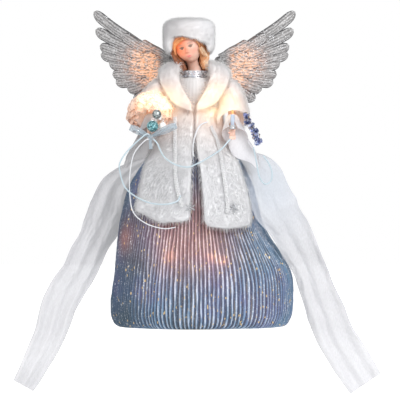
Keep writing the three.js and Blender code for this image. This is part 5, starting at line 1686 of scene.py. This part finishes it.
@dataclass(frozen=True)
class Head:
    """The doll's head, neck and shoulder plate in one casting, with painted eyes. Millimetres."""

    half: Spot = (12.9, 14.3, 16.4)
    centre: Spot = (-6.0, -5.0, 275.6)
    nod: float = 8.0
    roll: float = -17.0
    turn: float = -11.0
    eye_side: float = 4.4
    eye_high: float = 1.0
    mouth: float = -8.2

    @property
    def pose(self) -> Matrix:
        """Turns the head's own millimetres into the scene's metres."""
        turn, roll, nod = (Matrix.Rotation(math.radians(angle), 4, axis)
                           for angle, axis in ((self.turn, "Z"), (self.roll, "Y"), (self.nod, "X")))
        return Matrix.Translation(mm(*self.centre)) @ turn @ roll @ nod @ Matrix.Scale(MM, 4)

    def skull(self, turn: float, rise: float, grow: float = 0.0) -> Vector:
        """A point of the bare skull.

        Args:
            turn: from the face.
            rise: from -1 at the chin to 1 at the crown.
            grow: how far outside it, in millimetres.

        Returns:
            The point in the head's own millimetres.
        """
        level = math.sqrt(max(1 - rise * rise, 0))
        jaw = 1 - 0.3 * max(-rise, 0) ** 2
        x, y, z = self.half
        chin = 1 - 0.1 * max(-rise, 0) ** 2
        return Vector(((x + grow) * level * math.sin(turn) * jaw, -(y + grow) * level * math.cos(turn) * chin,
                       (z + grow) * rise))

    def front(self, x: float, z: float, grow: float) -> Vector:
        """The point in front of the skull at a place of the front view.

        Args:
            x: across, in millimetres.
            z: up, in millimetres.
            grow: how far outside the skull.

        Returns:
            The point in metres; beside the skull, its nearest depth.
        """
        inverse = self.pose.inverted()
        start, run = inverse @ mm(x, 0, z), inverse.to_3x3() @ Vector((0, MM, 0))
        half = [h + grow for h in self.half]
        a = sum((run[k] / half[k]) ** 2 for k in range(3))
        b = sum(start[k] * run[k] / half[k] ** 2 for k in range(3))
        c = sum((start[k] / half[k]) ** 2 for k in range(3)) - 1
        return mm(x, (-b - math.sqrt(max(b * b - a * c, 0))) / a, z)

    def relief(self, x: float, z: float) -> float:
        """How far the features stand out of the face.

        Args:
            x: across the face, in millimetres.
            z: up the face, in millimetres.

        Returns:
            The height in millimetres.
        """
        eyes = twin(x, self.eye_side, 2.9) * bump(z, self.eye_high + 0.2, 2.0)
        lids = twin(x, self.eye_side, 2.3) * bump(z, self.eye_high, 1.15)
        brow = twin(x, 4.6, 3.4) * bump(z, self.eye_high + 3.4, 1.5)
        bridge = bump(x, 0, 1.15) * smooth((self.eye_high + 2.5 - z) / 6.0) * smooth((z + 4.6) / 1.6)
        tip = bump(x, 0, 1.5) * bump(z, -2.7, 1.7)
        wings = twin(x, 1.7, 0.8) * bump(z, -3.5, 1.0)
        cheek = twin(x, 6.2, 3.2) * bump(z, -3.6, 3.4)
        lips = bump(x, 0, 2.5) * (bump(z, self.mouth + 0.75, 0.62) * (1 - 0.35 * bump(x, 0, 0.5))
                                  + bump(z, self.mouth - 0.75, 0.75))
        line = bump(x, 0, 2.7) * bump(z, self.mouth, 0.28)
        groove = bump(x, 0, 0.6) * bump(z, self.mouth + 2.2, 1.1)
        chin = bump(x, 0, 3.6) * bump(z, -13.6, 2.2)
        under = bump(x, 0, 3.2) * bump(z, self.mouth - 2.6, 1.0)
        return (-1.9 * eyes + 0.9 * lids + 0.45 * brow + 1.8 * bridge + 2.2 * tip + 0.6 * wings + 0.55 * cheek
                + 0.9 * lips - 0.6 * line - 0.3 * groove + 0.9 * chin - 0.4 * under)

    def build(self) -> None:
        """Makes the casting, its features painted on."""
        shape = Shaper("doll_casting")

        def bare(u: float, v: float) -> tuple[float, Vector]:
            """The turn from the face, and the skull's point."""
            side = 2 * u - 1
            turn = math.pi * (0.72 * side + 0.28 * side ** 3)
            return turn, self.skull(turn, -math.cos(math.pi * v))

        def face(u: float, v: float) -> Vector:
            """A point of the head with its features."""
            turn, spot = bare(u, v)
            front = smooth((math.cos(turn) - 0.1) / 0.5)
            return self.pose @ (spot + Vector((0, -1, 0)) * self.relief(spot.x, spot.z) * front)

        def paint(u: float, v: float) -> Color:
            """Lips, brow and lash, blush."""
            turn, (x, _, z) = bare(u, v)
            if math.cos(turn) < 0.2:
                return 0, 0, 0, 1
            lips = smooth(1.6 - 1.2 * math.hypot(x / 2.5, (z - self.mouth) / 1.25)) * (1 if abs(x) < 3 else 0)
            line = bump(z, self.mouth, 0.22) * bump(x, 0, 1.9) * 0.45
            brow = sum(bump(z, self.eye_high + 3.5 - 0.06 * (abs(x) - 4.6) ** 2, 0.45)
                       * smooth((3.4 - abs(x - s * 4.8)) / 1.6) for s in (-1, 1)) * 0.6
            lash = sum(bump(z, self.eye_high + 0.75 - 0.09 * (x - s * self.eye_side) ** 2, 0.45)
                       * smooth((2.9 - abs(x - s * self.eye_side)) / 0.8) for s in (-1, 1))
            pupil = sum(smooth(2.3 - 1.2 * math.hypot(x - s * self.eye_side,
                                                      (z - self.eye_high + 0.1) * 1.15))
                        for s in (-1, 1)) * 1.3
            lash = min(lash * 1.2 + pupil, 1)
            shade = twin(x, self.eye_side, 2.6) * bump(z, self.eye_high + 1.7, 1.1) * 0.3
            blush = twin(x, 6.4, 3.0) * bump(z, -4.0, 2.8) + bump(x, 0, 1.4) * bump(z, -3, 1.3) * 0.35
            return lips, min(line + brow + lash + shade, 1), blush, 1

        shape.grid(150, 130, face, closed=True, paint=paint)
        neck = Path([mm(-0.6, 0.5, 250), mm(-1.0, 0.2, 256), mm(-2.4, -1.0, 262), mm(-4.6, -3.0, 268)])
        shape.tube(neck, lambda t: (6.4 - 0.7 * math.sin(math.pi * t)) * MM, sides=40, steps=26,
                   tone=(0, 0, 0.1, 1))
        outline = Path(Vector((r, 0, z)) for r, z in (
            (1, 240.7), (18.6, 240.7), (19.7, 241.6), (18.6, 243.2), (12.4, 244.4), (9, 247), (7.2, 250),
            (6.5, 254), (5, 257)))

        def plate(u: float, v: float) -> Vector:
            """A point of the shoulder plate."""
            spot = outline.at(v)
            deep = mix(0.71, 1.0, smooth((spot.z - 243) / 5))
            return mm(spot.x * math.cos(TURN * u), spot.x * deep * math.sin(TURN * u), spot.z)

        shape.grid(64, 40, plate, closed=True, paint=lambda u, v: (0, 0, 0.05, 1), inside=True)
        shape.finish(Body.FIGURE, SKIN, "skin", ["head_bust"])


@dataclass(frozen=True)
class Wisp:
    """A bundle of strands through places of the front view, in millimetres."""

    route: tuple[tuple[float, float], ...]
    strands: int
    spread: float
    tone: tuple[float, float]
    grow: float = 2.2
    radius: float = 0.42
    curl: float = 0.5


@dataclass(frozen=True)
class WavyHair:
    """A cap of hair with strands that sweep from a parting round the face. Millimetres."""

    seed: int = 5

    WISPS = (
        Wisp(((-3, 286), (-9, 286.5), (-15, 284.5), (-20.5, 280), (-22.6, 275.5), (-21.6, 271)), 26, 2.6,
             (0.25, 0.62), 2.6),
        Wisp(((-6, 284.5), (-12, 283.5), (-17, 280.5), (-20, 276), (-20.4, 271), (-18.6, 267)), 22, 2.2,
             (0.3, 0.7)),
        # This bundle, down the angel's right of the neck, takes the darkest tones as painted shade.
        Wisp(((-20.6, 276), (-20.4, 271), (-18.6, 266), (-15.5, 261), (-12, 256.5), (-9, 252)), 34, 3.4,
             (0.0, 0.25), -1.0, 0.45),
        Wisp(((-5, 286), (0, 284.6), (5, 282.5), (10, 280.4), (14.6, 279)), 22, 2.0, (0.35, 0.75), 2.4),
        Wisp(((-3, 284.8), (2, 282), (6.5, 278.5), (10, 275), (13.5, 272)), 16, 1.6, (0.3, 0.7), 2.2),
        Wisp(((4, 282), (7.5, 277), (9.6, 271), (10, 265), (9, 259.5), (11, 254)), 34, 4.0, (0.3, 0.75), 0.6,
             0.36, 1.2),
        Wisp(((5.4, 274.5), (8.6, 270.5), (12, 266), (10.4, 261.5), (12, 257), (12.8, 252.5)), 24, 1.7,
             (0.7, 0.95), 2.6, 0.34, 1.1),
    )

    def build(self) -> None:
        """Makes the hair."""
        head, pick = Head(), random.Random(self.seed)
        shape = Shaper("wavy_hair")

        def cap(u: float, v: float) -> Vector:
            """A point of the cap."""
            turn = TURN * u
            front = smooth((math.cos(turn) - 0.35) / 0.5)
            rise = mix(mix(-0.5, 1.0, v), mix(0.62, 1.0, v), front)
            strand = 0.25 * math.cos(70 * u * math.pi + 3 * math.sin(v * 6))
            return head.pose @ head.skull(turn, min(rise, 0.999), 1.7 + strand)

        shape.grid(220, 40, cap, closed=True, paint=lambda u, v: (0.3 + 0.2 * math.sin(u * 90), v, 0, 1))

        def behind(u: float, v: float) -> Vector:
            """A point of the length behind the neck."""
            side = 2 * u - 1
            wave = 0.35 * math.sin(46 * u + 5 * v) + 0.8 * math.sin(6 * v + 3 * u)
            return mm(-1.2 + side * mix(18, 12.6, smooth(v * 1.2)) + wave,
                      3.5 + 0.8 * math.cos(70 * u + 3 * v) - 5 * side * side, mix(276, 247.6, v))

        # Darker on the angel's right, beside the neck: painted shade.
        shape.grid(120, 40, behind, paint=lambda u, v: (
            0.07 + 0.3 * smooth((u - 0.55) / 0.4) + 0.07 * math.sin(u * 140), v, 0, 1))
        for wisp in self.WISPS:
            for _ in range(wisp.strands):
                self.strand(shape, head, pick, wisp)
        shape.finish(Body.FIGURE, HAIR, "hair", ["hair"])

    @staticmethod
    def strand(shape: Shaper, head: Head, pick: random.Random, wisp: Wisp) -> None:
        """Adds one strand of a bundle.

        Args:
            shape: the hair.
            head: what it lies on.
            pick: gives the random draws.
            wisp: the bundle.
        """
        aside, deep, wave = pick.uniform(-1, 1), pick.uniform(-0.6, 0.8), pick.uniform(0, TURN)
        points = []
        last = len(wisp.route) - 1
        for i, (x, z) in enumerate(wisp.route):
            run = (Vector(wisp.route[min(i + 1, last)]) - Vector(wisp.route[max(i - 1, 0)])).normalized()
            reach = aside * wisp.spread * (0.45 + 0.55 * math.sin(math.pi * (i + 0.6) / (last + 1)))
            reach += wisp.curl * math.sin(2.2 * i + wave)
            points.append(head.front(x - run.y * reach, z + run.x * reach,
                                     wisp.grow + deep + 0.4 * math.sin(i + wave)))
        radius = wisp.radius * pick.uniform(0.7, 1.2) * MM
        shape.tube(Path(points), lambda t: radius * (1 - 0.7 * t ** 3), sides=6, steps=26, flat=0.75,
                   tone=(pick.uniform(*wisp.tone), 0.5, 0, 1), up=(0.1, 1, 0.2))


@dataclass(frozen=True)
class Bodice:
    """Satin gathered over the torso and up to the neck band. Millimetres; the rows are shares."""

    foot: float = 172.3
    height: float = 68.0
    half: tuple[float, float] = (22.0, 17.5)

    ROWS = ((0.3, 0.86, 0.9), (0.45, 0.92, 0.96), (0.62, 1, 1.03), (0.85, 1, 0.97), (0.95, 0.95, 0.88),
            (1.0, 0.915, 0.82), (1.025, 0.90, 0.80), (1.05, 0.80, 0.74), (1.068, 0.60, 0.76))

    def build(self) -> None:
        """Makes the bodice."""

        def place(u: float, v: float) -> Vector:
            """A point of the bodice."""
            share = mix(self.ROWS[0][0], self.ROWS[-1][0], v)
            turn = TURN * u
            deep_fold = 0.12 * (0.35 + 0.65 * bump(v, 0.62, 0.3))
            fold = 1.2 + deep_fold * math.cos(40 * turn + 2 * math.sin(3 * turn))
            wide, deep = (read_table(self.ROWS, share, k + 1) * self.half[k] + fold for k in (0, 1))
            return mm(wide * math.cos(turn), deep * math.sin(turn), self.foot + share * self.height)

        shape = Shaper("gathered_bodice")
        shape.grid(320, 60, place, closed=True, inside=True)
        piece = shape.finish(Body.FIGURE, BODICE_SATIN, "satin", ["satin_bodice"])
        cloth(piece, 54, "stretched", ["torso_form"])


@dataclass(frozen=True)
class NeckBand:
    """Four rows of cut stones round the neck. Millimetres."""

    foot: float = 243.0
    rows: int = 4
    stones: int = 50
    pitch: float = 2.25
    stone: float = 1.75

    # Tones that the stones take at random: painted reflections of their facets, from light to dark, with
    # pinkish and bluish glints.
    TONES = ((0.75, 0.75, 0.78), (0.42, 0.43, 0.46), (0.20, 0.20, 0.22), (0.46, 0.50, 0.60),
             (0.55, 0.44, 0.45), (0.30, 0.31, 0.34), (0.60, 0.60, 0.63))

    def build(self) -> None:
        """Makes the band."""
        shape, pick = Shaper("stone_band"), random.Random(8)
        shape.spin([[11.9, 242.9], [12.8, 243.1], [12.1, 252.1], [10.8, 252.2], [11.0, 247.8], [11.2, 243.4],
                    [11.9, 242.9]], mm(0, 0, 0), steps=72, tone=(0.5, 0.5, 0.52, 1))
        for row in range(self.rows):
            high = self.foot + 1.2 + row * self.pitch
            radius = mix(12.9, 12.2, row / (self.rows - 1)) + 0.1
            for i in range(self.stones):
                turn = TURN * (i + 0.5 * (row % 2)) / self.stones
                out = Vector((math.cos(turn) + pick.gauss(0, 0.25), math.sin(turn) + pick.gauss(0, 0.25),
                              0.25 + pick.gauss(0, 0.3))).normalized()
                tone = pick.choice(self.TONES)
                self.stone_at(shape, mm(radius * math.cos(turn), radius * math.sin(turn), high), out,
                              (*tone, 1))
        shape.finish(Body.FIGURE, STONE, "rhinestone", ["rhinestone_band"], smooth_faces=False)

    def stone_at(self, shape: Shaper, centre: Vector, out: Vector, tone: Sequence[float]) -> None:
        """Adds one stone.

        Args:
            shape: the band.
            centre: its middle.
            out: the way it looks.
            tone: its colour, a painted reflection.
        """
        size = self.stone / 2
        made = bmesh.ops.create_cone(shape.form, segments=8, radius1=size * MM, radius2=size * 0.5 * MM,
                                     depth=size * 0.8 * MM, cap_ends=True)
        pose = Matrix.Translation(centre) @ Vector((0, 0, 1)).rotation_difference(out).to_matrix().to_4x4()
        bmesh.ops.transform(shape.form, matrix=pose, verts=made["verts"])
        for v in made["verts"]:
            v[shape.paint] = tone


@dataclass(frozen=True)
class CoatTrim:
    """Looped braids down the front panels and the two star charms. Millimetres."""

    braid: float = 3.4
    link: float = 2.5
    coat_top: float = 250.0
    coat_half: tuple[float, float] = (76.0, 62.5)
    hem: float = 104.0
    panel: float = 114.0
    lift: float = 7.5

    OUTLINE = ((0.38, 1, 1), (0.52, 0.92, 0.88), (0.63, 0.82, 0.76), (0.68, 0.74, 0.64), (0.745, 0.53, 0.455),
               (0.8, 0.42, 0.4), (0.9, 0.372, 0.375), (0.96, 0.355, 0.33), (1, 0.33, 0.28))
    RIGHT = ((0.9, -0.245), (0.6, -0.245), (0.36, -0.235), (0.14, -0.16))
    LEFT = ((0.82, 0.21), (0.68, 0.3), (0.42, 0.37), (0.16, 0.42), (0.09, 0.41))

    def build(self) -> None:
        """Makes both braids, and both charms where their solids are."""
        for side in Side:
            self.run(side)
            self.charm(side)

    def on_coat(self, wide: float, up: float) -> Vector:
        """A point on the front of the coat.

        Args:
            wide: share of its half width.
            up: share of the panel's height.

        Returns:
            The point in metres.
        """
        z = self.hem + up * self.panel
        half, deep = (read_table(self.OUTLINE, z / self.coat_top, k + 1) * self.coat_half[k] + self.lift
                      for k in (0, 1))
        x = wide * self.coat_half[0]
        return mm(x, -deep * math.sqrt(max(1 - (x / half) ** 2, 0)), z)

    def run(self, side: Side) -> None:
        """Makes one braid down its panel.

        Args:
            side: the angel's side that it is on.
        """
        rows = self.RIGHT if side is Side.RIGHT else self.LEFT
        path = Path([self.on_coat(wide, up) for up, wide in rows])
        shape = Shaper(f"looped_braid_{side.word}")
        count = int(path.length / (self.link * MM))
        for i in range(count):
            centre, along = path.at((i + 0.5) / count), path.along((i + 0.5) / count)
            out = Vector((centre.x * 0.8, centre.y * 1.2, 0)).normalized()
            across = along.cross(out).normalized()
            for flip in (-0.55, 0.55):
                ring = [centre + (across * (flip + math.cos(a) * self.braid * 0.3)
                                  + along * (math.sin(a) * self.link * 0.62)
                                  + out * (0.35 * math.sin(2 * a) + 0.5)) * MM
                        for a in (TURN * k / 8 for k in range(8))]
                shape.tube(Path(ring, closed=True, samples=4), lambda t: 0.34 * MM, sides=5, steps=18, up=out)
        shape.finish(Body.FIGURE, BRAID_YARN, "braid", [f"braid_{side.word}"])

    def charm(self, side: Side) -> None:
        """Makes one six-armed star with beads, where its solid is.

        Args:
            side: the angel's side that it is on.
        """
        node = f"charm_{side.word}"
        low, high = (Vector(p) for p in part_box(node))
        centre, reach = (low + high) / 2, (high.z - low.z) / 2
        out = Vector((centre.x * 0.9, centre.y * 1.25, 0)).normalized()
        across = Vector((0, 0, 1)).cross(out).normalized()
        up = out.cross(across)
        shape = Shaper(f"star_{node}")
        for i in range(6):
            a = TURN * i / 6 + math.pi / 2
            ray = (across * math.cos(a) + up * math.sin(a)) * reach
            fork, end = centre + ray * 0.5, centre + ray * 0.94
            shape.tube(Path([centre, fork, end]), lambda t: (0.5 - 0.2 * t) * MM, sides=8, steps=6, up=out)
            shape.ball(end, 0.55, 2)
            for lean in (-0.8, 0.8):
                twig = (across * math.cos(a + lean) + up * math.sin(a + lean)) * reach
                shape.tube(Path([fork, fork + twig * 0.17, fork + twig * 0.34]),
                           lambda t: (0.36 - 0.16 * t) * MM, sides=6, steps=4, up=out)
        shape.ball(centre + out * 0.3 * MM, 1.0, 3)
        shape.finish(Body.FIGURE, DULL_SILVER, "silver", [node])


@dataclass(frozen=True)
class Hands:
    """Forearms with hands, each rounded into one casting. Metres."""

    voxel: float = 0.00035
    merge: float = 1e-5

    def build(self) -> None:
        """Makes both forearms."""
        for arm in ARMS:
            self.forearm(arm)

    def forearm(self, arm: Arm) -> None:
        """Rounds a copy of a forearm's solid.

        Args:
            arm: the arm.
        """
        node = f"forearm_{arm.side.word}"
        shape = Shaper(f"casting_of_{node}")
        shape.copy(node, self.merge)
        for v in shape.form.verts:
            v[shape.paint] = (0, 0, 0.1, 1)
        piece = shape.finish(arm.body, SKIN, "skin", [node])
        remesh = piece.modifiers.new("casting", "REMESH")
        remesh.mode, remesh.voxel_size = "VOXEL", self.voxel
        remesh.use_smooth_shade = True
        soften = piece.modifiers.new("soften", "SMOOTH")
        soften.factor, soften.iterations = 0.5, 5


@dataclass(frozen=True)
class HandPieces:
    """Candle and cup, the ornament cluster and the bow. Millimetres."""

    cup: Spot = (37.0, -47.7, 194.4)
    candle: Spot = (37.0, -47.7, 195.6)
    silver: Spot = (-36.5, -57.1, 209.2)
    teal: Spot = (-40.6, -58.2, 197.7)
    pearl: Spot = (-30.8, -56.5, 197.7)
    knot: Spot = (-43.0, -62.5, 187.2)

    LOOP = ((0, -0.6, 0.3), (7, -2.0, 1.2), (16, -2.6, 1.6), (22.6, -1.2, 0.2), (22.8, 1.2, -0.6),
            (15, 2.2, -1.2), (6, 1.6, -0.6), (0, 0.7, -0.2))

    def build(self) -> None:
        """Makes every piece."""
        self.taper()
        self.balls()
        self.bow()

    def taper(self) -> None:
        """Makes the candle in its silver cup."""
        cup = Shaper("candle_holder")
        cup.spin([[0, 0], [2.2, 0], [2.9, 0.4], [3.3, 1.3], [2.6, 2.2], [2.9, 3.0], [3.35, 3.9], [3.3, 4.4],
                  [2.5, 4.3], [2.35, 3.4], [2.3, 1.3], [0, 1.1]], mm(*self.cup), steps=40)
        cup.finish(Body.ARM_LEFT, DULL_SILVER, "silver", ["candle_cup"], rounds=1)
        wax = Shaper("taper_candle")
        wax.spin([[0, 0], [1.9, 0], [1.95, 0.5], [1.85, 8], [1.75, 13.4], [1.5, 14.2], [0.5, 14.4],
                  [1.15, 15.2], [1.35, 16.0], [1.0, 17.0], [0.4, 17.8], [0, 18]], mm(*self.candle), steps=36)
        for turn, drop in ((0.4, 5.0), (2.1, 3.2), (3.9, 6.4), (5.2, 2.6)):
            start = mm(*self.candle) + mm(1.75 * math.cos(turn), 1.75 * math.sin(turn), 13.4)
            wax.tube(Path([start, start + mm(0.1, 0, -drop * 0.5), start + mm(0.12, 0, -drop)]),
                     lambda t: (0.32 + 0.16 * t) * MM, sides=8, steps=8, up=(1, 0.2, 0))
        wax.finish(Body.ARM_LEFT, CANDLE_WAX, "candle", ["candle"])

    def balls(self) -> None:
        """Makes the silver ball, the teal ball and the pearl with their caps."""
        for name, place, size, look, slot, grain in (
                ("silver_ball", self.silver, 4.5, SILVER_GLITTER, "silver", 0.12),
                ("teal_ball", self.teal, 5.6, TEAL_GLITTER, "teal_glitter", 0.16),
                ("pearl_drop", self.pearl, 3.9, PEARL, "pearl", 0.0)):
            shape = Shaper(f"ornament_{name}")
            shape.ball(mm(*place), size - 0.05, 5, rough=grain, seed=len(name))
            shape.finish(Body.ARM_RIGHT, look, slot, [name])
            cap = Shaper(f"cap_of_{name}")
            cap.spin([[r * size, z * size] for r, z in ((0, 0.93), (0.3, 0.92), (0.36, 0.86), (0.36, 1.02),
                                                        (0.2, 1.08), (0, 1.1))], mm(*place), steps=24)
            ring = [mm(*place) + mm(0.9 * math.cos(a), 0, size * 1.1 + 0.7 + 0.9 * math.sin(a))
                    for a in (TURN * k / 10 for k in range(10))]
            cap.tube(Path(ring, closed=True, samples=3), lambda t: 0.22 * MM, sides=6, steps=24, up=(0, 1, 0))
            cap.finish(Body.ARM_RIGHT, SILVER, "silver")

    def bow(self) -> None:
        """Makes the knot and the two sheer loops."""
        centre = mm(*self.knot)
        knot = Shaper("bow_centre")

        def wrap(u: float, v: float) -> Vector:
            """A point of the knot."""
            turn = TURN * u
            pinch = 1 - 0.35 * math.sin(math.pi * v) + 0.09 * math.cos(9 * turn + 5 * v)
            return centre + mm((v - 0.5) * 5.2, 2.5 * math.sin(turn) * pinch, 2.9 * math.cos(turn) * pinch)

        knot.grid(60, 20, wrap, closed=True)
        knot.tube(Path([centre, mm(-42.6, -63.6, 181), mm(-42.2, -63.0, 175.4)]),
                  lambda t: (1.3 + 0.5 * t) * MM, sides=12, steps=18, flat=0.2, up=(0.1, 1, 0))
        knot.finish(Body.ARM_RIGHT, BOW_CLOTH, "sheer", ["bow_knot"])
        for side in Side:
            self.loop(side)

    def loop(self, side: Side) -> None:
        """Makes one loop of the bow from its root, out and back.

        Args:
            side: the side of the knot.
        """
        sign = side.value
        rise = 0.5 if side is Side.RIGHT else 0.45
        root = Vector(self.knot) + Vector((sign * 2.0, 0, 0.87))
        out = Vector((sign, 0, rise)) * (0.74 if side is Side.RIGHT else 1.0)
        path = Path(mm(*(root + out * reach + Vector((0, back, up)))) for reach, back, up in self.LOOP)

        def place(u: float, v: float) -> Vector:
            """A point of the loop."""
            w = 2 * u - 1
            wide = 2.6 * (0.4 + 0.65 * math.sin(math.pi * min(max(v, 0.02), 0.98)) ** 0.6)
            fold = 0.7 * math.cos(7 * w + 4 * v) * (1 - 0.6 * math.sin(math.pi * v))
            across = Vector((-sign * 0.45, 0, 1)).normalized()
            return path.at(v) + across * (w * wide * MM) + mm(0, fold, 0)

        shape = Shaper(f"bow_wing_{side.word}")
        shape.grid(30, 90, place)
        piece = shape.finish(Body.ARM_RIGHT, BOW_CLOTH, "sheer", [f"bow_loop_{side.word}"])
        cloth(piece, path.length / MM, "gathered", ["bow_centre"])


@dataclass(frozen=True)
class Garland:
    """Blossoms of tinsel strips along the left sleeve. Millimetres."""

    radius: float = 4.1
    blossoms: int = 6
    strips: int = 38
    rise: Spot = (2.2, 0.0, 4.5)

    TONES = ((0.08, 0.11, 0.25), (0.18, 0.20, 0.38), (0.26, 0.33, 0.52), (0.46, 0.50, 0.62),
             (0.74, 0.76, 0.82), (0.72, 0.60, 0.42))

    def build(self) -> None:
        """Makes the garland where its solid is."""
        pick = random.Random(21)
        shape = Shaper("tinsel_garland")
        node = np.array([v.co for v in bpy.data.objects["sleeve_garland"].data.vertices])
        high, reach = node[:, 2], self.radius * MM
        for level in np.linspace(high.min() + reach, high.max() - reach, self.blossoms):
            near = node[np.abs(high - level) < reach]
            x, y, _ = (near.min(axis=0) + near.max(axis=0)) / 2
            centre = Vector((x, y, level)) + mm(*self.rise)
            shape.ball(centre, 1.3, 2, tone=(*self.TONES[0], 1))
            for _ in range(self.strips):
                out = Vector((pick.gauss(0, 1), pick.gauss(0, 1), pick.gauss(0, 1))).normalized()
                swing = out.cross(Vector((pick.gauss(0, 1), pick.gauss(0, 1), 1))).normalized()
                long = self.radius * pick.uniform(0.6, 1.05) * MM
                tone = (*pick.choice(self.TONES), 1)
                path = Path([centre, centre + out * long * 0.6, centre + out * long + swing * long * 0.35],
                            samples=4)
                shape.tube(path, lambda t: (0.45 + smooth(t * 1.6)) * MM, sides=4, steps=5, flat=0.12,
                           tone=tone, up=swing)
        shape.finish(Body.ARM_LEFT, TINSEL, "tinsel", ["sleeve_garland"], smooth_faces=False)


class SleeveFrill:
    """The crinkled sheer lining that shows in the right sleeve's mouth. Millimetres."""

    def build(self) -> None:
        """Makes three gathered layers round the mouth."""
        arm = ARMS[0]
        axis = (Vector(arm.wrist) - Vector(arm.elbow)).normalized()
        across = Vector((1, 0, 0))
        up = axis.cross(across)
        shape = Shaper("sleeve_frill")
        for layer in range(3):
            start, flare = 20.8 - 2.6 * layer, 23.5 - 3.2 * layer

            def place(u: float, v: float) -> Vector:
                """A point of the layer."""
                turn = TURN * u
                ruffle = math.cos(11 * turn + layer * 2) * 1.6 * v + ring_noise(turn, 5, v * 3 + layer) * 2.6
                frayed = noise.noise(Vector((u * 60, layer, 1))) * 2.2 * smooth((v - 0.75) / 0.25)
                reach = mix(start, flare, math.sin(math.pi * v * 0.62))
                reach = reach * mix(1.0, 0.86, smooth((v - 0.6) / 0.4)) + ruffle
                spot = Vector(arm.elbow) + axis * (-4 + (17 + layer * 3.0) * v + frayed)
                spot += (across * math.sin(turn) + up * math.cos(turn)) * reach
                return mm(*spot)

            shape.grid(260, 16, place, closed=True)
        piece = shape.finish(Body.FIGURE, FRILL_CLOTH, "sheer", ["fur_sleeve_right"])
        cloth(piece, 14, "gathered", ["backing_of_fur_sleeve_right"])


@dataclass(frozen=True)
class Kept:
    """Solids whose shape is right, with a better finish on them."""

    LOOKS = {
        "base_cone": CARD, "rim_ring": CARD, "torso_form": FORM,
        "arm_wire_right": STEEL, "arm_wire_left": STEEL, "wing_bracket": STEEL, "light_string": GREEN_PLASTIC,
        "lead_gland": BLACK_PLASTIC, "ornament_pick": STEEL,
        **{f"skirt_bulb_{i}": BULB for i in (1, 2, 3, 4)},
        **{f"{kind}_bulb_{side}": BULB for kind in ("sleeve", "wing") for side in ("right", "left")},
    }

    def dress(self) -> None:
        """Puts each finish on its solid."""
        for node, look in self.LOOKS.items():
            solid = bpy.data.objects[node]
            for place in solid.material_slots:
                place.material = look.material()


def main() -> None:
    """Builds the whole scene."""
    logging.basicConfig(level=logging.INFO, format="%(message)s")
    bpy.context.scene.view_settings.view_transform = "Standard"
    studio = Studio()
    studio.camera()
    Ribbons().build()
    studio.light()
    studio.floor_sheet()
    for part in (Gown(), Streamers(), BellSleeves(), Wings(), FurCoat(), Head(), WavyHair(), Bodice(),
                 NeckBand(), CoatTrim(), Hands(), HandPieces(), Garland(), SleeveFrill()):
        part.build()
    Kept().dress()


if __name__ == "__main__":
    main()
